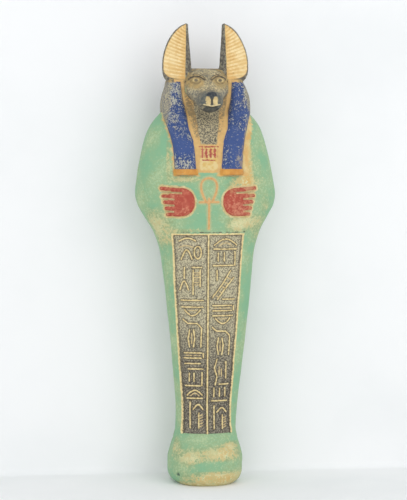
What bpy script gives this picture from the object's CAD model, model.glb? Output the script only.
"""A painted stone funerary figure with a jackal's head, dressed for its picture.

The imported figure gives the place, the size and the sections. One closed mesh stands for it: its
form is worked out from the same sections, and its inscription, fingers, ears and face are carved
into it as raised and sunk lines. Paint, wear and dirt are one layered finish on worn limestone.
Lengths are millimetres on a figure 300 mm tall until the mesh is made.
"""

import logging
import math
from collections.abc import Callable, Iterable
from dataclasses import dataclass, field
from enum import Enum

import bmesh
import bpy
import numpy as np
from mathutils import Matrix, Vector


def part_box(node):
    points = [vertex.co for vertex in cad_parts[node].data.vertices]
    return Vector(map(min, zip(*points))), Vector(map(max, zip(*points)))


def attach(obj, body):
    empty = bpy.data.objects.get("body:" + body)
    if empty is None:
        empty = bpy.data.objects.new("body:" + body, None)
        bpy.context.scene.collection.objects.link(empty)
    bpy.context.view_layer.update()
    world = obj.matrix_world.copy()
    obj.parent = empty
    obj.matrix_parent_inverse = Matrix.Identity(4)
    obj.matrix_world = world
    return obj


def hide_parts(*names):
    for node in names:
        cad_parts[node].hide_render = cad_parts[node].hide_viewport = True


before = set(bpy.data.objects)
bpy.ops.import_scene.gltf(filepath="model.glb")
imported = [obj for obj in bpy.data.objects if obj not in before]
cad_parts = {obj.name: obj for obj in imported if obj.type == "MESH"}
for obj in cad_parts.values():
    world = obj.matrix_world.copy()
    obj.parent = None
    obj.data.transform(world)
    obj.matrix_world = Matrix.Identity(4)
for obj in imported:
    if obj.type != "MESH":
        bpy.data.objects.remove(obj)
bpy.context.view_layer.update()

NODE = "jackal_headed_figure"
HEIGHT = 300.0
GRID_PITCH = 1.8
PHOTO_SIZE = (407, 500)
# Added to a distance, in mm, where a paint can't be
FAR = 50.0
LOG = logging.getLogger("figure")

Line = list[tuple[float, float]]
Place = np.ndarray


class Side(Enum):
    """A side of the figure, as the sign of X."""

    RIGHT = -1
    LEFT = 1


def smooth_min(a: Place, b: Place, radius: float) -> Place:
    """Joins two distance fields with a rounded seam.

    Args:
        a: Distances to the first form.
        b: Distances to the second form.
        radius: How wide the seam is rounded, in mm.

    Returns:
        Distances to both forms together.
    """
    share = np.clip(0.5 + 0.5 * (b - a) / radius, 0.0, 1.0)
    return b + (a - b) * share - radius * share * (1 - share)


def smooth_max(a: Place, b: Place, radius: float) -> Place:
    """What two distance fields have in common, with a rounded edge."""
    return -smooth_min(-a, -b, radius)


def oval(x: Place, y: Place, half: Place, depth: Place, fullness: Place | float) -> Place:
    """Distance to a full oval, in its own plane.

    Args:
        x: First coordinate from the middle of the oval.
        y: Second coordinate from the middle of the oval.
        half: Reach of the oval on the first axis.
        depth: Reach of the oval on the second axis.
        fullness: 2 for an ellipse, more for a squarer outline.

    Returns:
        Distances in mm, negative inside.
    """
    u = np.abs(x) / half
    v = np.abs(y) / depth
    r = np.maximum((u**fullness + v**fullness) ** (1 / fullness), 1e-6)
    slope = np.hypot((u / r) ** (fullness - 1) / half, (v / r) ** (fullness - 1) / depth)
    return (r - 1) / np.maximum(slope, 1e-6)


def ball(points: Place, middle: tuple[float, float, float], radii: tuple[float, float, float]) -> Place:
    """Distance to an ellipsoid, mirrored to both sides of the figure where its middle is off the axis.

    Args:
        points: Places in mm, one to a row.
        middle: Middle of the ellipsoid.
        radii: Its reach on each axis.

    Returns:
        Distances in mm, negative inside.
    """
    apart = np.column_stack(
        [np.abs(points[:, 0]) - abs(middle[0]), points[:, 1] - middle[1], points[:, 2] - middle[2]]
    )
    if middle[0] == 0:
        apart[:, 0] = points[:, 0]
    near = np.linalg.norm(apart / radii, axis=1)
    far = np.linalg.norm(apart / np.square(radii), axis=1)
    return near * (near - 1) / np.maximum(far, 1e-6)


def step(value: Place, low: float, high: float) -> Place:
    """A smooth climb from 0 at low to 1 at high."""
    t = np.clip((value - low) / (high - low), 0.0, 1.0)
    return t * t * (3 - 2 * t)


@dataclass(frozen=True)
class Profile:
    """Rows of sizes by share of a length, joined by a curve that never overshoots a row."""

    rows: tuple[tuple[float, ...], ...]

    def at(self, share: Place) -> Place:
        """Every size at each share.

        Args:
            share: Places along the length.

        Returns:
            One array for each column of the rows.
        """
        table = np.array(self.rows)
        stations = table[:, 0]
        values = table[:, 1:]
        share = np.clip(share, stations[0], stations[-1])
        k = np.clip(np.searchsorted(stations, share, side="right") - 1, 0, len(stations) - 2)
        run = np.diff(stations)
        rise = np.diff(values, axis=0) / run[:, None]
        slopes = np.zeros_like(values)
        before, after = rise[:-1], rise[1:]
        level = before * after <= 0
        slopes[1:-1] = np.where(level, 0.0, 2 * before * after / np.where(level, 1.0, before + after))
        gap = run[k][:, None]
        t = ((share - stations[k]) / run[k])[:, None]
        made = (
            values[k] * (1 + 2 * t) * (1 - t) ** 2
            + values[k + 1] * (3 - 2 * t) * t * t
            + gap * slopes[k] * t * (1 - t) ** 2
            - gap * slopes[k + 1] * t * t * (1 - t)
        )
        return made.T


@dataclass
class Shroud:
    """Feet, legs, folded arms and shoulders under the wrapping."""

    foot_width: float = 49.0
    ankle_width: float = 40.2
    knee_width: float = 50.4
    hip_width: float = 61.8
    elbow_width: float = 91.8
    shoulder_width: float = 74.4
    toe_reach: float = 28.5
    heel_reach: float = 17.8
    shin_reach: float = 15.2
    knee_reach: float = 19.0
    thigh_reach: float = 17.6
    hip_reach: float = 22.6
    rump_reach: float = 20.4
    chest_reach: float = 25.0
    back_reach: float = 22.0
    leg_sway: float = 2.3
    front_fullness: float = 2.35
    back_fullness: float = 2.7
    sections: Profile = field(init=False)

    def __post_init__(self) -> None:
        """Works the sections out from the sizes."""
        foot, ankle, knee, hip = self.foot_width, self.ankle_width, self.knee_width, self.hip_width
        elbow, shoulder = self.elbow_width, self.shoulder_width
        toe, heel, shin = self.toe_reach, self.heel_reach, self.shin_reach
        chest, back = self.chest_reach, self.back_reach
        self.sections = Profile(
            (
                (0.000, 0.398 * foot, 0.86 * toe, 0.88 * heel),
                (0.010, 0.468 * foot, 0.95 * toe, 0.96 * heel),
                (0.027, 0.498 * foot, 1.00 * toe, 1.00 * heel),
                (0.053, 0.500 * foot, 0.98 * toe, 1.00 * heel),
                (0.073, 0.474 * foot, 0.88 * toe, 0.98 * heel),
                (0.095, 0.436 * foot, 0.70 * toe, 0.93 * heel),
                (0.122, 0.494 * ankle, 1.05 * shin, 1.02 * shin),
                (0.160, 0.500 * ankle, 1.00 * shin, 1.00 * shin),
                (0.235, 0.440 * knee, 0.89 * self.knee_reach, 0.93 * self.thigh_reach),
                (0.333, 0.500 * knee, 1.00 * self.knee_reach, 1.00 * self.thigh_reach),
                (0.433, 0.458 * hip, 0.93 * self.hip_reach, 0.95 * self.rump_reach),
                (0.507, 0.500 * hip, 1.00 * self.hip_reach, 1.00 * self.rump_reach),
                (0.547, 0.376 * elbow, 0.94 * chest, 0.95 * back),
                (0.587, 0.448 * elbow, 0.98 * chest, 0.98 * back),
                (0.611, 0.487 * elbow, 1.00 * chest, 1.00 * back),
                (0.632, 0.500 * elbow, 1.00 * chest, 1.00 * back),
                (0.667, 0.486 * elbow, 0.99 * chest, 1.00 * back),
                (0.727, 0.553 * shoulder, 0.95 * chest, 0.98 * back),
                (0.770, 0.500 * shoulder, 0.86 * chest, 0.93 * back),
                (0.793, 0.443 * shoulder, 0.73 * chest, 0.84 * back),
                (0.813, 0.360 * shoulder, 0.56 * chest, 0.72 * back),
                (0.828, 0.240 * shoulder, 0.40 * chest, 0.50 * back),
            )
        )

    def sway(self, z: Place) -> Place:
        """How far the legs lean to the figure's left, most at the knees."""
        t = (z / HEIGHT - 0.36) / 0.38
        return self.leg_sway * np.maximum(0.0, 1 - t * t) ** 2

    def half(self, z: Place) -> Place:
        """Half the width at a height."""
        return self.sections.at(z / HEIGHT)[0]

    def front(self, x: Place, z: Place) -> Place:
        """Where the front lies on Y.

        Args:
            x: Places across, from the middle to the figure's left.
            z: Heights above the sole.

        Returns:
            Places on Y.
        """
        half, reach, _ = self.sections.at(z / HEIGHT)
        u = np.minimum(np.abs(x - self.sway(z)) / half, 0.97)
        return -reach * (1 - u**self.front_fullness) ** (1 / self.front_fullness)

    def back(self, x: Place, z: Place) -> Place:
        """Where the back lies on Y.

        Args:
            x: Places across, from the middle to the figure's left.
            z: Heights above the sole.

        Returns:
            Places on Y.
        """
        half, _, reach = self.sections.at(z / HEIGHT)
        u = np.minimum(np.abs(x - self.sway(z)) / half, 0.97)
        return reach * (1 - u**self.back_fullness) ** (1 / self.back_fullness)

    def distance(self, points: Place) -> Place:
        """Distance of each point to the shroud, negative inside.

        Args:
            points: Places in mm, one to a row.

        Returns:
            Distances in mm, negative inside.
        """
        x, y, z = points.T
        half, reach, rear = self.sections.at(z / HEIGHT)
        x = x - self.sway(z)
        ahead = oval(x, y, half, reach, self.front_fullness)
        behind = oval(x, y, half, rear, self.back_fullness)
        wall = np.where(y < 0, ahead, behind)
        return smooth_max(np.maximum(wall, z - 0.828 * HEIGHT), -z, 0.5)


@dataclass
class Wig:
    """The hair over the skull, its two lappets with bound ends, and its tail on the back."""

    shroud: Shroud
    width: float = 57.4
    front_reach: float = 14.0
    back_reach: float = 21.8
    collar: float = 0.775
    crown: float = 0.9036
    lappet_foot: float = 0.675
    lappet_width: float = 14.2
    lappet_gap: float = 15.2
    lappet_raise: float = 2.6
    lappet_depth: float = 13.0
    lappet_top: float = 0.880
    band_height: float = 3.6
    band_raise: float = 0.8
    tail_width: float = 40.0
    tail_raise: float = 1.8
    tail_top: float = 0.845
    sections: Profile = field(init=False)
    edges: Profile = field(init=False)

    def __post_init__(self) -> None:
        """Works the sections and the edges of the lappets out from the sizes."""
        width, front, back = self.width, self.front_reach, self.back_reach
        gap = self.lappet_gap
        self.sections = Profile(
            (
                (self.collar, 0.400 * width, 0.80 * front, 0.86 * back),
                (0.800, 0.485 * width, 1.00 * front, 0.97 * back),
                (0.822, 0.502 * width, 1.00 * front, 1.00 * back),
                (0.842, 0.490 * width, 0.96 * front, 1.00 * back),
                (0.861, 0.460 * width, 0.90 * front, 0.96 * back),
                (0.876, 0.440 * width, 0.86 * front, 0.89 * back),
                (0.889, 0.405 * width, 0.78 * front, 0.78 * back),
                (0.899, 0.340 * width, 0.66 * front, 0.60 * back),
                (self.crown, 0.200 * width, 0.36 * front, 0.32 * back),
            )
        )
        self.edges = Profile(
            (
                (self.lappet_foot, gap / 2, gap / 2 + self.lappet_width),
                (0.732, 0.56 * gap, 0.56 * gap + self.lappet_width),
                (0.784, 0.80 * gap, 0.80 * gap + self.lappet_width),
                (0.814, 0.95 * gap, width / 2),
                (0.836, 1.02 * gap, 0.995 * width / 2),
                (0.862, 1.05 * gap, 0.92 * width / 2),
                (self.lappet_top, 1.05 * gap, 0.84 * width / 2),
            )
        )

    def skull(self, points: Place) -> Place:
        """Distance to the hair over the skull.

        Args:
            points: Places in mm, one to a row.

        Returns:
            Distances in mm, negative inside.
        """
        x, y, z = points.T
        half, reach, rear = self.sections.at(z / HEIGHT)
        ahead = oval(x, y, half, reach, self.shroud.front_fullness)
        behind = oval(x, y, half, rear, self.shroud.back_fullness)
        wall = np.where(y < 0, ahead, behind)
        return np.maximum(smooth_max(wall, z - self.crown * HEIGHT, 2.0), self.collar * HEIGHT - z)

    def lappets(self, points: Place, swell: float = 0.0) -> Place:
        """Distance to the two locks on the chest, swollen for their bound ends.

        Args:
            points: Places in mm, one to a row.
            swell: How far the form swells past the plain lock.

        Returns:
            Distances in mm, negative inside.
        """
        x, y, z = points.T
        share = z / HEIGHT
        inner, outer = self.edges.at(share)
        middle, half = (inner + outer) / 2, (outer - inner) / 2 + swell
        lying = -self.shroud.front(middle, z) + self.lappet_raise
        hang = (share - 0.745) / (self.lappet_top - 0.745)
        chest = self.shroud.chest_reach
        hanging = chest - hang * (chest - 0.75 * self.front_reach)
        face = np.where(hang > 0, np.maximum(lying, hanging), lying) + swell
        wall = oval(
            np.abs(x) - middle, y + face - self.lappet_depth / 2, half, self.lappet_depth / 2, 3.2
        )
        foot = self.lappet_foot * HEIGHT
        if swell:
            return smooth_max(wall, np.abs(z - foot - self.band_height / 2) - self.band_height / 2, 0.5)
        return smooth_max(smooth_max(wall, foot - z, 0.5), z - self.lappet_top * HEIGHT, 1.0)

    def tail(self, points: Place) -> Place:
        """Distance to the broad lock that lies on the back.

        Args:
            points: Places in mm, one to a row.

        Returns:
            Distances in mm, negative inside.
        """
        x, y, z = points.T
        foot, top = self.lappet_foot * HEIGHT, self.tail_top * HEIGHT
        t = np.clip((z - foot) / (top - foot), 0.0, 1.0)
        half, _, rear = self.sections.at(z / HEIGHT)
        u = np.minimum(np.abs(x) / half, 0.97)
        fullness = self.shroud.back_fullness
        hair = rear * (1 - u**fullness) ** (1 / fullness)
        skin = np.maximum(self.shroud.back(x, z), hair) + self.tail_raise * (1 - t**4)
        wall = smooth_max(np.abs(x) - self.tail_width / 2 * (1 + 0.12 * t), y - skin, 1.2)
        return np.maximum(smooth_max(wall, foot - z, 0.9), np.maximum(z - top, -y))


@dataclass(frozen=True)
class Spot:
    """An oval of paint on the face, the same on both sides, in mm.

    Attributes:
        name: What it is.
        across: Its middle, from the middle of the face.
        level: Height of its middle above the sole.
        half: Half its width.
        rise: Half its height.
        fullness: 2 for an ellipse, more for a squarer outline.
        back: How far back it may reach, on Y.
    """

    name: str
    across: float
    level: float
    half: float
    rise: float
    fullness: float
    back: float

    def distance(self, points: Place) -> Place:
        """Distance to the spot in front view, and far behind it."""
        x, y, z = points.T
        flat = oval(np.abs(x) - self.across, z - self.level, self.half, self.rise, self.fullness)
        return flat + FAR * (y > self.back)


@dataclass
class Head:
    """The jackal's face with its snout, eyes and nose."""

    width: float = 27.8
    snout_width: float = 15.6
    reach: float = 40.0
    eye_spacing: float = 16.0
    eye_width: float = 5.8
    eye_height: float = 3.6
    nose_width: float = 7.4
    eye_level: float = 0.8770 * HEIGHT
    nose_level: float = 0.8440 * HEIGHT
    mouth_level: float = 0.8235 * HEIGHT
    sections: Profile = field(init=False)

    def __post_init__(self) -> None:
        """Works the upright sections of the face out from the sizes."""
        cheek, snout = self.width / 2, self.snout_width / 2
        rows = (
            (0.08, 0.8550, 1.00 * cheek, 0.0450, 0.0433, 1.6),
            (0.26, 0.8550, 1.02 * cheek, 0.0457, 0.0350, 1.5),
            (0.36, 0.8550, 0.98 * cheek, 0.0427, 0.0345, 1.45),
            (0.43, 0.8533, 0.89 * cheek, 0.0367, 0.0345, 1.5),
            (0.50, 0.8490, 0.78 * cheek, 0.0313, 0.0345, 1.6),
            (0.60, 0.8420, 1.20 * snout, 0.0253, 0.0333, 1.85),
            (0.73, 0.8365, 1.06 * snout, 0.0207, 0.0277, 2.0),
            (0.86, 0.8335, 1.00 * snout, 0.0187, 0.0243, 2.1),
            (0.94, 0.8325, 0.90 * snout, 0.0173, 0.0213, 2.1),
            (0.98, 0.8325, 0.70 * snout, 0.0147, 0.0167, 2.0),
            (1.00, 0.8325, 0.40 * snout, 0.0093, 0.0100, 2.0),
        )
        self.sections = Profile(
            tuple((s, m * HEIGHT, w, u * HEIGHT, d * HEIGHT, j) for s, m, w, u, d, j in rows)
        )

    def skin(self, points: Place) -> Place:
        """Distance to brow, cheeks, throat and snout, without eyes and nose.

        Args:
            points: Places in mm, one to a row.

        Returns:
            Distances in mm, negative inside.
        """
        x, y, z = points.T
        middle, half, rise, drop, jaw = self.sections.at(-y / self.reach)
        up = z - middle
        wall = oval(x, up, half, np.where(up > 0, rise, drop), np.where(up > 0, 2.35, jaw))
        return np.maximum(smooth_max(wall, -y - self.reach, 1.2), y + 0.08 * self.reach)

    def front(self, x: float, z: float) -> float:
        """Where the front of the face lies on Y at one place.

        Args:
            x: Places across, from the middle to the figure's left.
            z: Heights above the sole.

        Returns:
            The place on Y.
        """
        y = np.linspace(-1.02 * self.reach, -0.08 * self.reach, 400)
        probe = np.column_stack([np.full_like(y, x), y, np.full_like(y, z)])
        inside = np.flatnonzero(self.skin(probe) <= 0)
        return float(y[inside[0]]) if len(inside) else float(y[-1])

    def eye_middle(self) -> tuple[float, float, float]:
        """The middle of the eyeball on the figure's left."""
        x = self.eye_spacing / 2
        return x, self.front(x, self.eye_level) + 0.1 * self.eye_width, self.eye_level

    def eyeballs(self, points: Place) -> Place:
        """Distance to both eyeballs."""
        return ball(
            points, self.eye_middle(), (self.eye_width / 2, 0.38 * self.eye_width, self.eye_height / 2)
        )

    def nose(self, points: Place) -> Place:
        """Distance to the nose pad."""
        wide = self.nose_width
        return ball(
            points, (0, -0.93 * self.reach, self.nose_level), (wide / 2, 0.46 * wide, 0.33 * wide)
        )

    def distance(self, points: Place) -> Place:
        """Distance to the whole face."""
        skin = smooth_min(self.skin(points), self.eyeballs(points), 0.5)
        return smooth_min(skin, self.nose(points), 1.4)

    def throat(self, points: Place) -> Place:
        """Distance to the throat, between the jaw and the chest.

        Args:
            points: Places in mm, one to a row.

        Returns:
            Distances in mm, negative inside.
        """
        x, y, z = points.T
        wall = oval(x, y + 3.5, np.full_like(x, 0.72 * self.width / 2), np.full_like(x, 12.8), 2.4)
        return np.maximum(wall, np.abs(z - 246.0) - 11.0)

    def jaw_line(self, x: Place, z: Place) -> Place:
        """Signed distance to the painted face in front view, negative inside."""
        cheek = Profile(
            ((242.0, 4.5), (247.0, 8.2), (250.4, 10.8), (254.9, 13.2), (260.0, 14.2), (266.0, 15.0))
        )
        return 0.8 * (np.abs(x) - cheek.at(z)[0])

    def spots(self) -> tuple[Spot, ...]:
        """The ovals of paint on the face.

        Returns:
            Each with its place from the levels of the eyes and the mouth.
        """
        eye, mouth = self.eye_level, self.mouth_level
        return (
            Spot("cheek", 9.5, 252.0, 6.0, 5.0, 2.0, -8.0),
            Spot("muzzle", 0.0, 249.5, 8.2, 6.5, 2.2, -17.0),
            Spot("socket", 8.4, eye - 0.6, 5.6, 4.6, 2.0, -8.0),
            Spot("eye", 8.0, eye, 2.35, 1.3, 1.7, -8.0),
            Spot("pupil", 7.8, eye + 0.1, 1.25, 1.05, 2.0, -8.0),
            Spot("chin", 0.0, mouth - 3.0, 5.4, 2.6, 2.4, -26.0),
        )

    def brows(self) -> list[Line]:
        """The raised line over each eye, drawn out towards the ear.

        Returns:
            Paths of x and z.
        """
        lines = []
        for side in Side:
            path = []
            for i in range(13):
                t = i / 12
                x = self.eye_spacing / 2 * (0.30 + 1.62 * t)
                z = self.eye_level + self.eye_height * (math.sin(math.pi * min(1.0, 0.12 + t)) - 0.10)
                path.append((side.value * x, z))
            lines.append(path)
        return lines

    def lids(self) -> list[Line]:
        """The almond rim around each eye.

        Returns:
            Paths of x and z.
        """
        lines = []
        for side in Side:
            path = []
            for i in range(21):
                turn = math.tau * i / 20
                wide = 0.56 * self.eye_width * math.cos(turn)
                high = 0.66 * self.eye_height * abs(math.sin(turn)) ** 1.25
                x = side.value * (self.eye_spacing / 2 + wide)
                path.append((x, self.eye_level + math.copysign(high, math.sin(turn)) + 0.06 * wide))
            lines.append(path)
        return lines

    def mouth(self, lift: float = 0.0) -> list[list[tuple[float, float, float]]]:
        """The line of the lips around the snout, with its corners curled up.

        Args:
            lift: How far above the gap of the mouth the line runs.

        Returns:
            One path of points in space.
        """
        shares = np.array([0.56, 0.62, 0.70, 0.78, 0.85, 0.91, 0.95, 0.98])
        middle, half, _, drop, jaw = self.sections.at(shares)
        u = np.minimum(np.abs(self.mouth_level - middle) / drop, 0.98)
        across = half * (1 - u**jaw) ** (1 / jaw)
        side = list(zip(across, -shares * self.reach))
        rim = [*side, (0.0, -0.995 * self.reach), *[(-x, y) for x, y in reversed(side)]]
        return [[(x, y, self.mouth_level + lift + 1.2 * min(1.0, (x / 5.4) ** 2)) for x, y in rim]]

    def cleft(self) -> list[list[tuple[float, float, float]]]:
        """The upright groove from the nose to the lips."""
        foot, top = self.mouth_level, self.nose_level - 1.4
        return [[(0.0, self.front(0.0, z) - 0.1, z) for z in np.linspace(foot, top, 6)]]


@dataclass
class Ears:
    """The two tall ears, ribbed inside like a feather."""

    foot: float = 0.8720 * HEIGHT
    widest: float = 0.9130 * HEIGHT
    inner_foot: float = 8.5
    inner_tip: float = 11.2
    ridge_foot: float = 13.0
    ridge_tip: float = 11.9
    reach: float = 28.2
    thickness: float = 9.0
    rim: float = 2.4
    hollow_depth: float = 1.1
    ribs: int = 16

    def outline(self, z: Place, ridge: Place) -> Place:
        """How far the rounded outer edge stands from the middle of the head.

        Args:
            z: Heights above the sole.
            ridge: Where the ridge of the ear stands.

        Returns:
            Places on X.
        """
        above = np.clip((z - self.widest) / (HEIGHT - self.widest), 0.0, 1.0)
        below = np.clip((self.widest - z) / (self.widest - self.foot), 0.0, 1.0)
        rise = (1 - above**1.72) ** (1 / 1.72)
        fall = (1 - 0.82 * below**3.4) ** (1 / 3.4)
        return ridge + (self.reach - ridge) * np.where(z > self.widest, rise, fall)

    def section(self, x: Place, z: Place) -> tuple[Place, Place, Place, Place, Place]:
        """The ear at a place of the front view.

        Args:
            x: Distance from the middle of the head.
            z: Height.

        Returns:
            Inner edge, ridge and outer edge on X, and front and back on Y.
        """
        share = np.clip((z - self.foot) / (HEIGHT - self.foot), 0.0, 1.0)
        ridge = self.ridge_foot + (self.ridge_tip - self.ridge_foot) * share
        outer = self.outline(z, ridge)
        wing = np.maximum(outer - ridge, 0.4)
        out = np.clip((x - ridge) / wing, 0.0, 1.0)
        base = z - out * (0.05 + 0.42 * share) * wing
        t = np.clip((base - self.foot) / (HEIGHT - self.foot), 0.0, 1.0)
        inner = self.inner_foot + (self.inner_tip - self.inner_foot) * t
        middle = self.thickness * (0.2 * t - 0.58)
        rise = self.thickness * (0.62 - 0.34 * t)
        rear = self.thickness * (0.55 - 0.38 * t)
        lip = self.rim / 2
        cheek = np.clip((x - inner) / np.maximum(ridge - inner, 0.3), 0.0, 1.0)
        hollow = self.hollow_depth * np.sin(math.pi * out) * (1 - 0.6 * t)
        ahead = np.where(
            x < ridge, middle - rise * (0.35 + 0.65 * cheek), middle - rise + (rise - lip) * out + hollow
        )
        near = middle + rear * (0.35 + 0.65 * np.clip(cheek, 0.0, 1.0))
        shoulder = middle + lip + 0.55 * (rear - lip)
        inward = middle + rear + (shoulder - middle - rear) * np.clip((out - 0.1) / 0.5, 0.0, 1.0)
        outward = shoulder + (middle + 0.8 * lip - shoulder) * np.clip((out - 0.6) / 0.4, 0.0, 1.0)
        behind = np.where(out <= 0, near, np.where(out < 0.6, inward, outward))
        return inner, ridge, outer, ahead, behind

    def distance(self, points: Place) -> Place:
        """Distance to both ears.

        Args:
            points: Places in mm, one to a row.

        Returns:
            Distances in mm, negative inside.
        """
        x, y, z = np.abs(points[:, 0]), points[:, 1], points[:, 2]
        inner, ridge, outer, ahead, behind = self.section(x, z)
        slope = (self.outline(z + 0.2, ridge) - self.outline(z - 0.2, ridge)) / 0.4
        plan = smooth_max((x - outer) / np.sqrt(1 + slope**2), inner - x, 0.5)
        slab = smooth_max(ahead - y, y - behind, 0.7)
        whole = smooth_max(plan, slab, 0.9)
        return np.maximum(whole, np.maximum(self.foot - 2.0 - z, z - HEIGHT))

    def hollow(self, x: Place, z: Place) -> Place:
        """Signed distance to the ribbed part in front view, negative inside.

        Args:
            x: Places across, from the middle to the figure's left.
            z: Heights above the sole.

        Returns:
            Distances in mm, negative inside.
        """
        x = np.abs(x)
        _, ridge, outer, _, _ = self.section(x, z)
        slope = (self.outline(z + 0.2, ridge) - self.outline(z - 0.2, ridge)) / 0.4
        edge = (x - outer) / np.sqrt(1 + slope**2) + 0.34 * self.rim
        return np.maximum(smooth_max(edge, self.foot + 2.6 - z, 7.0), ridge + 0.7 - x)

    def rib_lines(self) -> list[Line]:
        """Ribs from the ridge to the rim, each rising outwards.

        Returns:
            Paths of x and z.
        """
        lines = []
        low, high = self.foot + 3.4, HEIGHT - 1.5
        for side in Side:
            for i in range(self.ribs):
                t = (i + 0.5) / self.ribs
                start = low + (high - low) * t
                path = []
                for j in range(9):
                    s = j / 8
                    ridge = self.ridge_foot + (self.ridge_tip - self.ridge_foot) * t
                    z = np.array([start + s * (1.2 + 7.5 * (1 - (1 - t) ** 2)) * (1 - 0.7 * t)])
                    outer = self.outline(z, np.array([ridge]))[0]
                    x = ridge + 0.6 + s * max(outer - ridge - 2.0, 0.1)
                    path.append((side.value * float(x), float(z[0])))
                lines.append(path)
        return lines


@dataclass
class Hands:
    """The two fists on the chest and the looped cross between them."""

    inner: float = 9.0
    reach: float = 30.6
    height: float = 18.6
    level: float = 0.6165 * HEIGHT
    raised: float = 1.7
    finger_width: float = 2.9
    cross_width: float = 12.2
    cross_line: float = 1.7
    cross_top: float = 0.671 * HEIGHT
    cross_foot: float = 0.559 * HEIGHT

    def palm(self, x: Place, z: Place) -> Place:
        """Signed distance to the round part of each fist in front view.

        Args:
            x: Places across, from the middle to the figure's left.
            z: Heights above the sole.

        Returns:
            Distances in mm, negative inside.
        """
        palm = 0.46 * (self.reach - self.inner)
        across = np.abs(x) - self.inner - palm
        return oval(
            across, z - self.level, np.where(across > 0, 0.75 * palm, palm), 0.5 * self.height, 2.3
        )

    def fingers(self) -> list[Line]:
        """Thumb and four fingers of each fist, pointing outwards.

        Returns:
            Paths of x and z.
        """
        lines = []
        pitch = (self.height - self.finger_width) / 4
        for side in Side:
            for i in range(5):
                z = self.level + pitch * (i - 2)
                tip = self.reach - self.finger_width * (1.6 - 0.35 * i)
                start = self.inner + 0.46 * (self.reach - self.inner)
                rise = 0.35 * self.finger_width if i == 4 else 0.0
                lines.append(
                    [(side.value * (start + (tip - start) * t), z + rise * t) for t in (0.0, 0.5, 1.0)]
                )
        return lines

    def gaps(self) -> list[Line]:
        """The cuts between the fingers.

        Returns:
            Paths of x and z.
        """
        lines = []
        pitch = (self.height - self.finger_width) / 4
        for side in Side:
            for i in range(4):
                z = self.level + pitch * (i - 1.5)
                start = self.inner + (0.62 if i < 3 else 0.40) * (self.reach - self.inner)
                lines.append([(side.value * start, z), (side.value * (self.reach + 1.0), z + 0.2 * i)])
        return lines

    def cross(self) -> list[Line]:
        """The drop-shaped loop, the arms and the stem.

        Returns:
            Paths of x and z.
        """
        climb = self.cross_top - self.cross_line / 2 - self.level
        points = []
        for i in range(21):
            turn = math.pi * (0.16 + 1.68 * i / 20)
            rise = (1 - math.cos(turn)) / 2
            points.append((math.sin(turn) * (0.55 + 0.45 * rise), rise))
        widest = max(x for x, _ in points)
        low = points[0][1]
        half = (self.cross_width - self.cross_line) / 2
        loop = [
            (x / widest * half, self.level + climb * ((rise - low) / (1 - low)) ** 0.85)
            for x, rise in points
        ]
        arms = [(-self.cross_width / 2, self.level), (self.cross_width / 2, self.level)]
        return [loop, arms, [(0.0, self.level + 2.2), (0.0, self.cross_foot)]]


def bar(start: float, end: float, level: float) -> Line:
    """A level stroke."""
    return [(start, level), (end, level)]


def tick(across: float, foot: float, top: float) -> Line:
    """A short upright stroke."""
    return [(across, foot), (across, top)]


def bow(start: float, end: float, level: float, rise: float) -> Line:
    """An arched stroke."""
    return [(start + (end - start) * i / 8, level + rise * math.sin(math.pi * i / 8)) for i in range(9)]


def ring(across: float, level: float, wide: float, high: float) -> Line:
    """A closed stroke."""
    turns = [math.tau * i / 12 for i in range(13)]
    return [(across + wide * math.cos(turn), level + high * math.sin(turn)) for turn in turns]


class Mark(Enum):
    """A kind of mark, with its strokes in a cell from -1 to 1 across and 0 to 1 up.

    None of them is a letter or a sign of a script.
    """

    ARCH = (bow(-0.8, 0.8, 0.40, 0.42), bar(-0.8, 0.8, 0.14))
    STALL = (tick(0.75, 0.15, 0.95), bar(-0.85, 0.6, 0.15), tick(-0.5, 0.42, 0.9), tick(-0.05, 0.42, 0.9))
    SHEAF = (
        [(-0.9, 0.14), (-0.2, 0.5), (0.5, 0.92)],
        [(-0.5, 0.1), (0.1, 0.42), (0.75, 0.72)],
        tick(-0.55, 0.66, 0.94),
        bar(-0.1, 0.8, 0.1),
    )
    CHANNEL = (bar(-0.85, 0.7, 0.74), bar(-0.85, 0.7, 0.26), tick(0.88, 0.30, 0.70))
    DISH = (bar(-0.85, 0.85, 0.82), bow(-0.62, 0.62, 0.6, -0.46))
    CROOK = (
        [(-0.85, 0.94), (-0.45, 0.82), (0.35, 0.82), (0.72, 0.68), (0.66, 0.10)],
        [(-0.30, 0.62), (-0.42, 0.36), (-0.30, 0.10)],
        [(0.02, 0.62), (0.14, 0.36), (0.02, 0.10)],
    )
    REED = (
        [(-0.35, 0.95), (-0.60, 0.66), (-0.35, 0.36), (-0.50, 0.08)],
        tick(0.55, 0.30, 0.86),
        bar(-0.1, 0.8, 0.10),
    )
    TICKS = (tick(-0.6, 0.12, 0.9), tick(0.0, 0.12, 0.9), tick(0.6, 0.12, 0.9))
    RULE = (bar(-0.85, 0.85, 0.5),)
    RULES = (bar(-0.85, 0.6, 0.75), bar(-0.55, 0.85, 0.25))
    POSTS = (tick(-0.55, 0.06, 0.94), tick(0.4, 0.06, 0.56), bow(-0.2, 0.85, 0.68, 0.16))
    EYE = (bow(-0.85, 0.3, 0.84, 0.1), ring(0.45, 0.44, 0.26, 0.22), bow(-0.7, 0.05, 0.2, 0.34))
    COMB = (
        tick(0.1, 0.05, 0.84),
        tick(0.62, 0.3, 0.84),
        bar(0.0, 0.72, 0.93),
        bow(-0.85, -0.25, 0.2, 0.28),
        tick(-0.55, 0.58, 0.92),
    )


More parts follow.
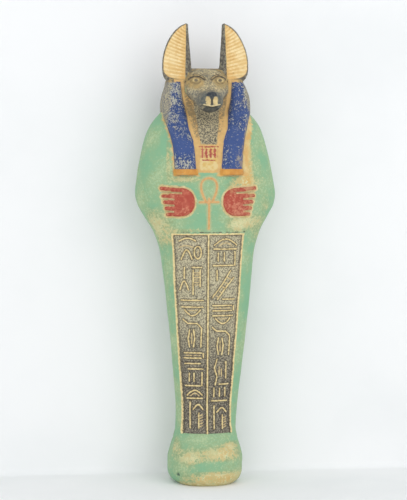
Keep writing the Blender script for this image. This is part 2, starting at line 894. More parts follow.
# Thinner strokes that fill some of the marks, as the chisel did between the main ones
HATCHING: dict[Mark, tuple[Line, ...]] = {
    Mark.SHEAF: tuple(
        [(-0.62 + 0.22 * i, 0.20 + 0.13 * i), (-0.38 + 0.22 * i, 0.16 + 0.13 * i)] for i in range(5)
    ),
    Mark.CHANNEL: tuple(bar(-0.7 + 0.36 * i, -0.52 + 0.36 * i, 0.5) for i in range(4)),
    Mark.COMB: tuple(bar(0.2, 0.52, 0.36 + 0.08 * i) for i in range(6)),
    Mark.DISH: (bar(-0.35, 0.35, 0.55),),
    Mark.POSTS: tuple([(0.5, 0.10 + 0.09 * i), (0.84, 0.14 + 0.09 * i)] for i in range(5)),
    Mark.ARCH: (bow(-0.45, 0.45, 0.34, 0.22),),
    Mark.EYE: (bow(-0.85, 0.1, 0.62, 0.06), tick(0.45, 0.36, 0.5)),
    Mark.REED: (tick(-0.12, 0.40, 0.72), tick(0.12, 0.36, 0.62)),
    Mark.CROOK: (tick(-0.14, 0.20, 0.52),),
}


@dataclass
class Panel:
    """The sunk panel on the legs, with rails at its edges and two columns of raised strokes."""

    shroud: Shroud
    foot: float = 0.111 * HEIGHT
    top: float = 0.547 * HEIGHT
    margin_top: float = 11.2
    margin_foot: float = 3.9
    depth: float = 0.8
    rail_width: float = 1.4
    rail_raise: float = 0.3
    stroke_width: float = 1.1
    columns: tuple[tuple[Side, tuple[tuple[Mark, float], ...]], ...] = (
        (
            Side.RIGHT,
            (
                (Mark.EYE, 0.145),
                (Mark.COMB, 0.155),
                (Mark.RULE, 0.045),
                (Mark.DISH, 0.065),
                (Mark.CROOK, 0.165),
                (Mark.CHANNEL, 0.055),
                (Mark.RULES, 0.055),
                (Mark.STALL, 0.085),
                (Mark.ARCH, 0.060),
                (Mark.POSTS, 0.150),
            ),
        ),
        (
            Side.LEFT,
            (
                (Mark.ARCH, 0.075),
                (Mark.STALL, 0.085),
                (Mark.SHEAF, 0.175),
                (Mark.CHANNEL, 0.055),
                (Mark.DISH, 0.060),
                (Mark.CROOK, 0.165),
                (Mark.REED, 0.150),
                (Mark.TICKS, 0.055),
                (Mark.RULE, 0.030),
                (Mark.POSTS, 0.135),
            ),
        ),
    )

    def half(self, z: Place) -> Place:
        """Half the panel's width at a height.

        Args:
            z: Heights above the sole.

        Returns:
            Half widths.
        """
        t = np.clip((z - self.foot) / (self.top - self.foot), 0.0, 1.0)
        draw = (self.margin_top - self.margin_foot) * (0.6 * t + 0.4 * t**12)
        return self.shroud.half(z) - self.margin_foot - draw

    def distance(self, x: Place, z: Place) -> Place:
        """Signed distance to the panel in front view."""
        return np.maximum(np.abs(x) - self.half(z), np.maximum(self.foot - z, z - self.top))

    def rails(self) -> list[Line]:
        """The rails at the sides, down the middle and along the top.

        Returns:
            Paths of x and z.
        """
        heights = np.linspace(self.foot, self.top, 24)
        halves = self.half(heights) - 0.1 * self.rail_width
        uprights = [[(sign * float(h), float(z)) for h, z in zip(halves, heights)] for sign in (-1, 0, 1)]
        across = float(self.half(np.array([self.top]))[0])
        return [*uprights, bar(-across, across, self.top)]

    def strokes(self, fine: bool) -> list[Line]:
        """The strokes of every mark in its place.

        Args:
            fine: True for the thinner strokes that fill the marks.

        Returns:
            Paths of x and z.
        """
        span = self.top - self.foot - self.rail_width
        lines = []
        for side, cells in self.columns:
            top = self.foot + span
            for mark, share in cells:
                low = top - share * span
                outer = float(self.half(np.array([(low + top) / 2]))[0]) - self.rail_width
                inner = self.rail_width
                reach = (outer - inner - self.stroke_width) / 2
                for stroke in HATCHING.get(mark, ()) if fine else mark.value:
                    middle = side.value * (inner + outer) / 2
                    lines.append([(middle + a * reach, low + rise * (top - low)) for a, rise in stroke])
                top = low
        return lines


@dataclass(frozen=True)
class Patch:
    """A worn place of the paint, seen from the front."""

    x: float
    z: float
    wide: float
    high: float
    strength: float = 1.0


# Where the photographed paint is worn, from the hands and shoulders down to the foot. A negative one
# keeps its paint.
WORN_PLACES = (
    Patch(-31.0, 171.0, 8.0, 9.0, 0.8),
    Patch(-24.0, 161.0, 7.0, 6.0, 0.7),
    Patch(-33.0, 152.0, 4.0, 14.0, 0.5),
    Patch(-37.0, 176.0, 4.0, 8.0, 0.25),
    Patch(27.0, 172.0, 9.0, 5.0, 0.8),
    Patch(18.0, 169.5, 7.0, 6.0, 0.9),
    Patch(33.0, 163.0, 5.0, 8.0, 0.5),
    Patch(-14.0, 199.6, 10.0, 2.2, 0.9),
    Patch(23.0, 198.0, 9.0, 4.0, 0.95),
    Patch(15.5, 193.0, 5.0, 4.0, 0.8),
    Patch(25.6, 204.0, 3.4, 19.0, 1.35),
    Patch(25.0, 224.0, 1.8, 12.0, 1.2),
    Patch(-26.0, 212.0, 1.4, 14.0, 0.8),
    Patch(-22.0, 236.0, 3.0, 8.0, 0.5),
    Patch(20.0, 211.0, 4.0, 8.0, 0.9),
    Patch(24.5, 250.0, 3.0, 9.0, 0.6),
    Patch(-20.0, 205.0, 4.0, 8.0, 0.3),
    Patch(-12.0, 166.5, 12.0, 1.6, 0.6),
    Patch(9.0, 21.0, 13.0, 4.4, 1.3),
    Patch(15.0, 26.0, 5.0, 2.5, 0.9),
    Patch(-12.0, 18.5, 8.0, 5.5, 1.0),
    Patch(-21.0, 26.0, 4.0, 6.0, 0.8),
    Patch(5.0, 5.6, 19.0, 4.4, 1.6),
    Patch(3.0, 13.2, 10.0, 1.8, -1.3),
    Patch(0.0, 0.8, 26.0, 1.5, 1.6),
    Patch(-27.0, 120.0, 3.0, 22.0, 0.45),
    Patch(-22.0, 60.0, 2.6, 20.0, 0.45),
    Patch(38.0, 182.0, 4.0, 10.0, 0.45),
    Patch(34.0, 205.0, 4.0, 16.0, 0.25),
)

# Where the bare stone is stained a warmer orange
WARM_PLACES = (
    Patch(7.0, 5.4, 16.0, 3.2, 0.9),
    Patch(9.0, 21.0, 10.0, 4.0, 0.6),
    Patch(26.0, 206.0, 3.6, 24.0, 0.9),
    Patch(20.0, 196.0, 9.0, 5.0, 0.5),
)


def patches(places: Iterable[Patch], x: Place, z: Place) -> Place:
    """The strength of soft patches at each place of the front view.

    Args:
        places: The patches.
        x: Places across, from the middle to the figure's left.
        z: Heights above the sole.

    Returns:
        One strength for each place.
    """
    return sum(
        patch.strength * np.exp(-(((x - patch.x) / patch.wide) ** 2) - ((z - patch.z) / patch.high) ** 2)
        for patch in places
    )


def surface_net(
    distance: Callable[[Place], Place], low: Place, high: Place, pitch: float
) -> tuple[Place, Place]:
    """Wraps a closed net of quads round a form.

    Args:
        distance: Signed distance to the form, negative inside.
        low: Lowest corner of the space.
        high: Highest corner of the space.
        pitch: Width of one mesh of the net.

    Returns:
        Points, and the quads' corners as indices.
    """
    counts = np.ceil((high - low) / pitch).astype(int) + 1
    axes = [low[a] + pitch * np.arange(counts[a]) for a in range(3)]
    grid = np.stack(np.meshgrid(*axes, indexing="ij"), -1)
    values = distance(grid.reshape(-1, 3)).reshape(counts)
    cells = counts - 1
    total = np.zeros((*cells, 3))
    hits = np.zeros(cells, dtype=int)
    crossings = []
    for a in range(3):
        b, c = (a + 1) % 3, (a + 2) % 3
        near = np.take(values, range(cells[a]), axis=a)
        far = np.take(values, range(1, counts[a]), axis=a)
        crossed = (near < 0) != (far < 0)
        share = np.where(crossed, near / np.where(crossed, near - far, 1.0), 0.0)
        where = np.take(grid, range(cells[a]), axis=a).copy()
        where[..., a] += share * pitch
        where *= crossed[..., None]
        for i in range(2):
            for j in range(2):
                part = [slice(None)] * 3
                part[b] = slice(i, i + cells[b])
                part[c] = slice(j, j + cells[c])
                total += where[tuple(part)]
                hits += crossed[tuple(part)]
        crossings.append((a, b, c, crossed, near < 0))
    used = hits > 0
    index = np.full(cells, -1)
    index[used] = np.arange(used.sum())
    quads = []
    for a, b, c, crossed, inside in crossings:
        at = np.argwhere(crossed)
        corners = []
        for i, j in ((1, 1), (0, 1), (0, 0), (1, 0)):
            cell = at.copy()
            cell[:, b] -= i
            cell[:, c] -= j
            corners.append(index[tuple(cell.T)])
        quad = np.stack(corners, 1)
        outward = inside[tuple(at.T)]
        quads.append(np.where(outward[:, None], quad, quad[:, ::-1]))
    return total[used] / hits[used][:, None], np.concatenate(quads)


def pull(distance: Callable[[Place], Place], points: Place, rounds: int, reach: float = 0.8) -> Place:
    """Moves points onto the surface of a form, each along the form's own slope.

    Args:
        distance: Signed distance to the form.
        points: Places in mm, one to a row.
        rounds: How often the points are moved.
        reach: The longest move of one round.

    Returns:
        The moved points.
    """
    nudge = 0.02
    for _ in range(rounds):
        here = distance(points)
        slope = np.stack([(distance(points + nudge * axis) - here) / nudge for axis in np.eye(3)], 1)
        length = np.maximum((slope**2).sum(1), 0.05)
        move = -here[:, None] * slope / length[:, None]
        far = np.linalg.norm(move, axis=1, keepdims=True)
        points = points + move * np.minimum(1.0, reach / np.maximum(far, 1e-9))
    return points


def relax(points: Place, edges: Place, share: float) -> Place:
    """Moves each point a share of the way to the middle of its neighbours.

    Args:
        points: Places in mm, one to a row.
        edges: Numbers of the points at the ends of each edge.
        share: Share of the way that each point moves.

    Returns:
        The moved points.
    """
    total = np.zeros_like(points)
    count = np.zeros(len(points))
    for a, b in ((0, 1), (1, 0)):
        for axis in range(3):
            total[:, axis] += np.bincount(edges[:, a], points[edges[:, b], axis], len(points))
        count += np.bincount(edges[:, a], minlength=len(points))
    return points + share * (total / np.maximum(count, 1)[:, None] - points)


def line_object(
    name: str, lines: Iterable[Iterable[tuple[float, ...]]], scale: float
) -> bpy.types.Object:
    """A mesh of bare edges along paths of (x, z), or of (x, y, z).

    Args:
        name: Name of the object.
        lines: The paths, in mm.
        scale: Metres to a millimetre of the figure.

    Returns:
        The object, which only guides the carving and is removed afterwards.
    """
    points: list[tuple[float, float, float]] = []
    edges: list[tuple[int, int]] = []
    for path in lines:
        start = len(points)
        for place in path:
            x, y, z = place if len(place) == 3 else (place[0], 0.0, place[1])
            points.append((x * scale, y * scale, z * scale))
        edges += [(i, i + 1) for i in range(start, len(points) - 1)]
    mesh = bpy.data.meshes.new(name)
    mesh.from_pydata(points, edges, [])
    made = bpy.data.objects.new(name, mesh)
    bpy.context.scene.collection.objects.link(made)
    return made


def add(
    tree: bpy.types.NodeTree,
    kind: str,
    inputs: dict[str | int, object] | None = None,
    **settings: object,
) -> bpy.types.Node:
    """Adds a node with its settings, values and links.

    Args:
        tree: The tree that gets the node.
        kind: Blender's name of the node type.
        inputs: Values or output sockets by input name or number.
        **settings: Properties of the node.

    Returns:
        The node.
    """
    node = tree.nodes.new(kind)
    for name, value in settings.items():
        setattr(node, name, value)
    for name, value in (inputs or {}).items():
        socket = node.inputs[name]
        if isinstance(value, bpy.types.NodeSocket):
            tree.links.new(value, socket)
        else:
            socket.default_value = value
    return node


def new_tree(name: str, sockets: dict[str, str]) -> tuple[bpy.types.NodeTree, bpy.types.Node]:
    """A Geometry Nodes tree with a mesh in and out and named inputs.

    Args:
        name: Name of the tree.
        sockets: Socket type by input name.

    Returns:
        The tree and its group input node.
    """
    tree = bpy.data.node_groups.new(name, "GeometryNodeTree")
    tree.interface.new_socket("Geometry", in_out="INPUT", socket_type="NodeSocketGeometry")
    for label, kind in sockets.items():
        tree.interface.new_socket(label, in_out="INPUT", socket_type=kind)
    tree.interface.new_socket("Geometry", in_out="OUTPUT", socket_type="NodeSocketGeometry")
    return tree, tree.nodes.new("NodeGroupInput")


def close_tree(
    tree: bpy.types.NodeTree, geometry: bpy.types.NodeSocket, material: bpy.types.NodeSocket
) -> None:
    """Ends a tree in real geometry with its material.

    Args:
        tree: The tree.
        geometry: The shape that the tree has made.
        material: The material that it gets.
    """
    real = add(tree, "GeometryNodeRealizeInstances", {"Geometry": geometry})
    dressed = add(tree, "GeometryNodeSetMaterial", {"Geometry": real.outputs[0], "Material": material})
    add(tree, "NodeGroupOutput", {"Geometry": dressed.outputs[0]})


def carve_tree() -> bpy.types.NodeTree:
    """Raises or cuts a line wherever the surface passes near a guide, and keeps the distance for the paint.

    Returns:
        The tree.
    """
    tree, given = new_tree(
        "carve_lines",
        {
            "Guide": "NodeSocketObject",
            "Half Width": "NodeSocketFloat",
            "Edge": "NodeSocketFloat",
            "Level": "NodeSocketFloat",
            "Depth Counts": "NodeSocketFloat",
            "Cut In": "NodeSocketBool",
            "Keep As": "NodeSocketString",
            "Material": "NodeSocketMaterial",
        },
    )
    take = given.outputs
    guide = add(tree, "GeometryNodeObjectInfo", {"Object": take["Guide"]})
    place = add(tree, "GeometryNodeInputPosition")
    squash = add(tree, "ShaderNodeCombineXYZ", {"X": 1.0, "Y": take["Depth Counts"], "Z": 1.0})
    flat = add(
        tree, "ShaderNodeVectorMath", {0: place.outputs[0], 1: squash.outputs[0]}, operation="MULTIPLY"
    )
    near = add(
        tree,
        "GeometryNodeProximity",
        {"Geometry": guide.outputs["Geometry"], "Sample Position": flat.outputs[0]},
        target_element="EDGES",
    )
    outer = add(tree, "ShaderNodeMath", {0: take["Half Width"], 1: take["Edge"]}, operation="ADD")
    inner = add(tree, "ShaderNodeMath", {0: take["Half Width"], 1: take["Edge"]}, operation="SUBTRACT")
    climb = add(
        tree,
        "ShaderNodeMapRange",
        {"Value": near.outputs["Distance"], "From Min": outer.outputs[0], "From Max": inner.outputs[0]},
        interpolation_type="SMOOTHSTEP",
    )
    front = add(tree, "GeometryNodeInputNamedAttribute", {"Name": "front"}, data_type="FLOAT")
    shown = add(tree, "ShaderNodeMath", {0: climb.outputs[0], 1: front.outputs[0]}, operation="MULTIPLY")
    relief = add(tree, "GeometryNodeInputNamedAttribute", {"Name": "relief"}, data_type="FLOAT")
    level = add(
        tree,
        "ShaderNodeMix",
        {"Factor": shown.outputs[0], "A": relief.outputs[0], "B": take["Level"]},
        data_type="FLOAT",
    )
    high = add(tree, "ShaderNodeMath", {0: relief.outputs[0], 1: level.outputs[0]}, operation="MAXIMUM")
    low = add(tree, "ShaderNodeMath", {0: relief.outputs[0], 1: level.outputs[0]}, operation="MINIMUM")
    chosen = add(
        tree,
        "GeometryNodeSwitch",
        {"Switch": take["Cut In"], "False": high.outputs[0], "True": low.outputs[0]},
        input_type="FLOAT",
    )
    hidden = add(tree, "ShaderNodeMath", {0: 1.0, 1: front.outputs[0]}, operation="SUBTRACT")
    away = add(
        tree,
        "ShaderNodeMath",
        {0: hidden.outputs[0], 1: 0.05, 2: near.outputs["Distance"]},
        operation="MULTIPLY_ADD",
    )
    kept = add(
        tree,
        "GeometryNodeStoreNamedAttribute",
        {"Geometry": take["Geometry"], "Name": take["Keep As"], "Value": away.outputs[0]},
        data_type="FLOAT",
        domain="POINT",
    )
    stored = add(
        tree,
        "GeometryNodeStoreNamedAttribute",
        {"Geometry": kept.outputs[0], "Name": "relief", "Value": chosen.outputs[0]},
        data_type="FLOAT",
        domain="POINT",
    )
    close_tree(tree, stored.outputs[0], take["Material"])
    return tree


def press_tree() -> bpy.types.NodeTree:
    """Pushes the surface out by its relief, and gives it the waves and pits of worn stone.

    Returns:
        The tree.
    """
    tree, given = new_tree(
        "press_relief",
        {
            "Wave Height": "NodeSocketFloat",
            "Wave Scale": "NodeSocketFloat",
            "Pit Depth": "NodeSocketFloat",
            "Pit Scale": "NodeSocketFloat",
            "Seed": "NodeSocketFloat",
            "Material": "NodeSocketMaterial",
        },
    )
    take = given.outputs
    waves = add(
        tree,
        "ShaderNodeTexNoise",
        {"Scale": take["Wave Scale"], "W": take["Seed"], "Detail": 1.5},
        noise_dimensions="4D",
    )
    swell = add(tree, "ShaderNodeMath", {0: waves.outputs[0], 1: 0.5}, operation="SUBTRACT")
    swell_high = add(
        tree, "ShaderNodeMath", {0: swell.outputs[0], 1: take["Wave Height"]}, operation="MULTIPLY"
    )
    pits = add(
        tree,
        "ShaderNodeTexNoise",
        {"Scale": take["Pit Scale"], "W": take["Seed"], "Detail": 2.0, "Roughness": 0.6},
        noise_dimensions="4D",
    )
    deep = add(
        tree,
        "ShaderNodeMapRange",
        {"Value": pits.outputs[0], "From Min": 0.56, "From Max": 0.74},
        interpolation_type="SMOOTHSTEP",
    )
    sink = add(tree, "ShaderNodeMath", {0: deep.outputs[0], 1: take["Pit Depth"]}, operation="MULTIPLY")
    rough = add(
        tree, "ShaderNodeMath", {0: swell_high.outputs[0], 1: sink.outputs[0]}, operation="SUBTRACT"
    )
    grip = add(tree, "GeometryNodeInputNamedAttribute", {"Name": "clear_of_sole"}, data_type="FLOAT")
    relief = add(tree, "GeometryNodeInputNamedAttribute", {"Name": "relief"}, data_type="FLOAT")
    whole = add(tree, "ShaderNodeMath", {0: rough.outputs[0], 1: relief.outputs[0]}, operation="ADD")
    held = add(tree, "ShaderNodeMath", {0: whole.outputs[0], 1: grip.outputs[0]}, operation="MULTIPLY")
    normal = add(tree, "GeometryNodeInputNormal")
    offset = add(
        tree, "ShaderNodeVectorMath", {0: normal.outputs[0], "Scale": held.outputs[0]}, operation="SCALE"
    )
    moved = add(
        tree, "GeometryNodeSetPosition", {"Geometry": take["Geometry"], "Offset": offset.outputs[0]}
    )
    close_tree(tree, moved.outputs[0], take["Material"])
    return tree


def run_tree(thing: bpy.types.Object, tree: bpy.types.NodeTree, values: dict[str, object]) -> None:
    """Puts a tree on an object with its inputs set by their identifiers.

    Args:
        thing: The object that is changed.
        tree: The tree.
        values: Each input's value by its name.
    """
    change = thing.modifiers.new(tree.name, "NODES")
    change.node_group = tree
    for item in tree.interface.items_tree:
        if item.item_type == "SOCKET" and item.in_out == "INPUT" and item.name in values:
            change[item.identifier] = values[item.name]


@dataclass(frozen=True)
class Cut:
    """One family of carved lines, in mm.

    Attributes:
        name: Name of the attribute that keeps the distance to them.
        lines: Their paths.
        half_width: Half the width of a line.
        level: How far it stands proud, or lies sunk below 0.
        edge: How wide its shoulder is.
        deep: True where the cut goes into what is raised already.
        in_space: True where the lines lie in space, and not on a front view.
    """

    name: str
    lines: list
    half_width: float
    level: float
    edge: float = 0.35
    deep: bool = False
    in_space: bool = False


def hex_colour(code: str) -> tuple[float, float, float, float]:
    """An sRGB hex value as linear light.

    Args:
        code: Red, green and blue as #rrggbb.

    Returns:
        Red, green, blue and alpha.
    """
    parts = [int(code[i : i + 2], 16) / 255 for i in (1, 3, 5)]
    red, green, blue = [p / 12.92 if p <= 0.04045 else ((p + 0.055) / 1.055) ** 2.4 for p in parts]
    return red, green, blue, 1.0


class Grain(Enum):
    """Sizes of the irregular patterns of the stone and its paint, in mm.

    The real dust and specks are 0.1 to 0.5 mm wide. They are drawn coarser here, so that they show
    at the picture's 0.66 mm a pixel. The larger sizes are the real ones.
    """

    DUST = 0.8
    SPECK = 1.5
    FLECK = 3.0
    BLOTCH = 6.5
    PATCH = 15.0
    BROAD = 42.0


@dataclass(frozen=True)
class Mask:
    """Where a coat lies: where an attribute stays under a limit, both in mm, along a wandering edge.

    Attributes:
        attribute: Distance kept on the mesh.
        limit: Where the coat ends.
        soft: Half the width over which it fades.
        wander: How far the edge strays, as a brush does.
        grain: Size of that straying.
        outside: True where the coat lies past the limit.
    """

    attribute: str
    limit: float = 0.0
    soft: float = 0.25
    wander: float = 0.6
    grain: Grain = Grain.FLECK
    outside: bool = False


@dataclass(frozen=True)
class Coat:
    """A coat of mineral paint, brushed by hand on stone: matte, in two close tones, with bare specks.

    Attributes:
        name: The paint and where it is.
        main: Its main tone.
        second: Its second tone.
        masks: Where it lies.
        grain: Size of the patches of its tones.
        share: Share of the main tone.
        blur: How softly the tones meet.
        wears: How far wear takes it off.
        strength: How well it covers.
        scatter: For scattered flecks, how rare they are.
    """

    name: str
    main: str
    second: str
    masks: tuple[Mask, ...]
    grain: Grain = Grain.BLOTCH
    share: float = 0.5
    blur: float = 0.12
    wears: float = 1.0
    strength: float = 1.0
    scatter: float | None = None


# The paint of each zone, from the first coat to the last
COATS = (
    Coat("green shroud paint", "#86b58d", "#a0b586", (), Grain.PATCH, 0.5, 0.16, 0.85),
    Coat("brighter green", "#7cb796", "#86bb99", (), Grain.BROAD, 0.5, 0.1, 0.9, 0.6, 0.54),
    Coat("pale scratches", "#cdd2a2", "#bcc896", (), Grain.DUST, wears=0.0, strength=0.6, scatter=0.575),
    Coat(
        "olive dirt", "#979c6c", "#a9a873", (Mask("dirty", 0.0, 0.3, 0.5),), Grain.SPECK, wears=0.9,
        strength=0.55,
    ),
    Coat(
        "ochre edging", "#dbab64", "#e3c98e",
        (Mask("edging", 1.2, 1.1, 3.0, Grain.SPECK), Mask("head_zone")), wears=0.2,
    ),
    Coat("grey-blue wig wash", "#74797f", "#938c79", (Mask("hair"),), Grain.FLECK, 0.5, 0.14, 0.5),
    Coat(
        "dark stone of the crown", "#6f6858", "#b59a67", (Mask("hair"), Mask("crown")), Grain.FLECK, 0.5,
        0.12, 0.3,
    ),
    Coat(
        "ochre of the throat", "#ddb473", "#d3aa6b", (Mask("between", 0.0, 0.3, 0.6),), Grain.FLECK,
        wears=0.1,
    ),
    Coat(
        "dirt on the throat", "#857a60", "#6b614e",
        (Mask("between", -0.3), Mask("strip", 0.0, 0.4, 0.8), Mask("low_crown", 0.0, 2.0)), wears=0.1,
        strength=0.7, scatter=0.50,
    ),
    Coat(
        "dark bib wash", "#5d584d", "#c0b18c", (Mask("bib", 0.0, 0.4, 1.0),), Grain.DUST, 0.5, 0.09, 0.2,
    ),
    Coat(
        "slate face paint", "#7a7463", "#dcc796", (Mask("face"), Mask("jaw", 0.0, 0.5, 0.8)), Grain.SPECK,
        0.5, 0.12, 0.3,
    ),
    Coat(
        "grey cheeks", "#706f68", "#a29e8e", (Mask("face"), Mask("cheek", 0.0, 2.0, 3.0)), Grain.SPECK,
        wears=0.0, strength=0.55,
    ),
    Coat(
        "soot on the face", "#47443d", "#5a5347", (Mask("face"), Mask("jaw", 0.0, 0.5, 0.8)), wears=0.0,
        strength=0.75, scatter=0.55,
    ),
    Coat(
        "dark muzzle wash", "#565b58", "#7b7562",
        (Mask("muzzle", 0.0, 2.4, 1.8), Mask("face"), Mask("jaw", 0.0, 0.5, 0.8)), Grain.FLECK, 0.42,
        wears=0.3,
    ),
    Coat(
        "blue wig paint", "#3d5388", "#2b4276",
        (Mask("lappet", 0.0, 0.2, 0.4), Mask("below_crown", 0.0, 0.5, 1.5)), Grain.PATCH, 0.5, 0.12, 0.55,
    ),
    Coat(
        "pale flecks on the blue", "#cfc8ac", "#a8a99f", (Mask("lappet", -0.4), Mask("below_crown")),
        Grain.FLECK, wears=0.0, strength=0.9, scatter=0.56,
    ),
    Coat(
        "rubbed sides of the wig", "#75736d", "#b5a988",
        (Mask("hair"), Mask("flank", 0.0, 1.2, 3.0), Mask("below_crown")), Grain.DUST, wears=0.0,
        strength=0.85,
    ),
    Coat(
        "orange end bands", "#dd9f4a", "#cb8a3e", (Mask("band", 0.0, 0.2, 0.3),), Grain.BLOTCH, wears=0.2,
    ),
    Coat("dark ear rim", "#57524a", "#8b8372", (Mask("ear"),), Grain.SPECK, 0.5, 0.1, 0.5),
    Coat(
        "golden ear paint", "#ecc47e", "#e0b26b", (Mask("hollow", 0.0, 0.25, 0.3),), Grain.BLOTCH,
        wears=0.1,
    ),
    Coat(
        "pale outer half of the ears", "#f6dda8", "#eccb8c",
        (Mask("hollow", -0.3), Mask("ear_out", 0.0, 3.0, 2.0)), wears=0.0, strength=0.6,
    ),
)


# The painted lines and small parts, over the coats of the zones
DETAILS = (
    Coat(
        "cream halo of the fists", "#e3d19c", "#d6bd80", (Mask("fist", 1.1, 0.4, 1.2),), Grain.FLECK,
        wears=0.0,
    ),
    Coat(
        "red palm paint", "#b04a38", "#c2674f",
        (Mask("palm", -0.1, 0.2, 0.5), Mask("gaps", 0.6, 0.25, 0.5, Grain.SPECK, True)), Grain.FLECK, 0.4,
        0.12, 0.25,
    ),
    Coat(
        "red finger paint", "#aa4535", "#bd6049",
        (Mask("fingers", 1.25, 0.25, 0.6), Mask("gaps", 0.6, 0.25, 0.5, Grain.SPECK, True)), Grain.SPECK,
        0.5, 0.12, 0.3,
    ),
    Coat(
        "rubbed red paint", "#d99b78", "#cf8468", (Mask("fist", -1.0, 0.8, 1.0),), Grain.DUST, wears=0.0,
        strength=0.65, scatter=0.55,
    ),
    Coat(
        "cream round the cross", "#c6c999", "#d3c48c", (Mask("cross", 1.7, 0.6, 1.4),), Grain.FLECK,
        wears=0.0, strength=0.5,
    ),
    Coat(
        "ochre cross paint", "#dcae74", "#cf9d62", (Mask("cross", 0.75, 0.2, 0.4, Grain.SPECK),),
        Grain.SPECK, wears=0.3,
    ),
    Coat(
        "dark ground of the panel", "#4d4741", "#a39a84", (Mask("panel", -0.2, 0.2, 0.3),), Grain.DUST,
        0.44, 0.1, 0.0,
    ),
    Coat(
        "dusty ground high on the panel", "#7a7363", "#d3c8a3",
        (Mask("panel", -0.2, 0.2, 0.3), Mask("dusty", 0.0, 26.0, 30.0, Grain.BROAD)), Grain.DUST, 0.54,
        0.1, 0.0, 0.85,
    ),
    Coat(
        "dark line over the panel", "#5a5548", "#7a745f", (Mask("lintel", 0.3, 0.2, 0.5),), Grain.SPECK,
        wears=0.4,
    ),
    Coat(
        "dark edge of the strokes", "#3c3731", "#514a3f",
        (Mask("strokes", 1.0, 0.3, 0.6, Grain.SPECK), Mask("panel", -0.2)), Grain.SPECK, wears=0.0,
        strength=0.75,
    ),
    Coat(
        "dark edge of the rails", "#3c3731", "#5a5243",
        (Mask("rails", 1.05, 0.3, 0.6, Grain.SPECK), Mask("panel", 0.2)), Grain.SPECK, wears=0.0,
        strength=0.7,
    ),
    Coat(
        "cream rails", "#eed9a0", "#dfc488", (Mask("rails", 0.5, 0.2, 0.6, Grain.SPECK),), Grain.SPECK,
        wears=0.0,
    ),
    Coat(
        "cream strokes", "#eed9a0", "#dcc085",
        (Mask("strokes", 0.46, 0.2, 0.6, Grain.SPECK), Mask("panel", 0.0)), Grain.SPECK, wears=0.0,
    ),
    Coat(
        "cream hatching", "#dcc591", "#c2a97b",
        (Mask("hatching", 0.36, 0.2, 0.5, Grain.SPECK), Mask("panel", 0.0)), Grain.SPECK, wears=0.0,
    ),
    Coat(
        "ribs of the ears", "#fbe6b5", "#f2d598",
        (Mask("ribs", 0.45, 0.4, 0.9, Grain.SPECK), Mask("hollow", -0.2), Mask("ear_out", 4.0, 2.5)),
        wears=0.0, strength=0.85,
    ),
    Coat(
        "ochre round the eyes", "#bf9f64", "#9c8759", (Mask("socket", 0.0, 1.4, 1.6),), Grain.FLECK,
        wears=0.0, strength=0.8,
    ),
    Coat("cream eyes", "#d9c18a", "#c3a973", (Mask("eye", 0.0, 0.2, 0.3),), Grain.SPECK, wears=0.0),
    Coat("dark pupils", "#8c8067", "#726650", (Mask("pupil", 0.0, 0.3, 0.2),), Grain.SPECK, wears=0.0),
    Coat(
        "brown lids", "#6f5f46", "#8a7552", (Mask("lids", 0.25, 0.2, 0.4, Grain.SPECK), Mask("face")),
        wears=0.0,
    ),
    Coat(
        "dark line over the brow", "#4b443a", "#665b48",
        (Mask("brows", 0.95, 0.3, 0.7, Grain.SPECK), Mask("face")), wears=0.0,
    ),
    Coat(
        "cream brow line", "#c2a873", "#a08a60", (Mask("brows", 0.25, 0.2, 0.7, Grain.SPECK),), wears=0.0,
    ),
    Coat(
        "black nose paint", "#2f3439", "#4b4e4e", (Mask("nose", 0.35, 0.3, 0.5),), Grain.SPECK, wears=0.2,
    ),
    Coat(
        "black chin paint", "#3b3d3a", "#5a584d", (Mask("chin", 0.0, 0.4, 0.6),), Grain.SPECK, wears=0.2,
    ),
    Coat("cream lips", "#dcc48c", "#b99f6c", (Mask("lips", 0.0, 0.35, 1.6, Grain.SPECK),), wears=0.0),
    Coat(
        "dark cleft of the lips", "#3c3a36", "#4d4840", (Mask("cleft", 0.55, 0.25, 0.4, Grain.SPECK),),
        wears=0.0,
    ),
    Coat(
        "cream mouth line", "#e6d3a2", "#cfb987",
        (Mask("mouth", 0.42, 0.25, 0.5, Grain.SPECK), Mask("smile", 0.0, 0.5, 0.5)), wears=0.0,
    ),
    Coat(
        "pale yellow below the collar", "#e0c88d", "#d9b468", (Mask("apron", 0.0, 0.4, 1.0),),
        Grain.FLECK, wears=0.0,
    ),
    Coat(
        "red collar strokes", "#ab483c", "#bb6955", (Mask("collar", 0.38, 0.2, 0.6, Grain.SPECK),),
        wears=0.0,
    ),
    Coat(
        "dark pit in the foot", "#3f5549", "#5a6b5a", (Mask("pit", 0.0, 0.3, 0.3),), Grain.SPECK,
        wears=0.0,
    ),
)


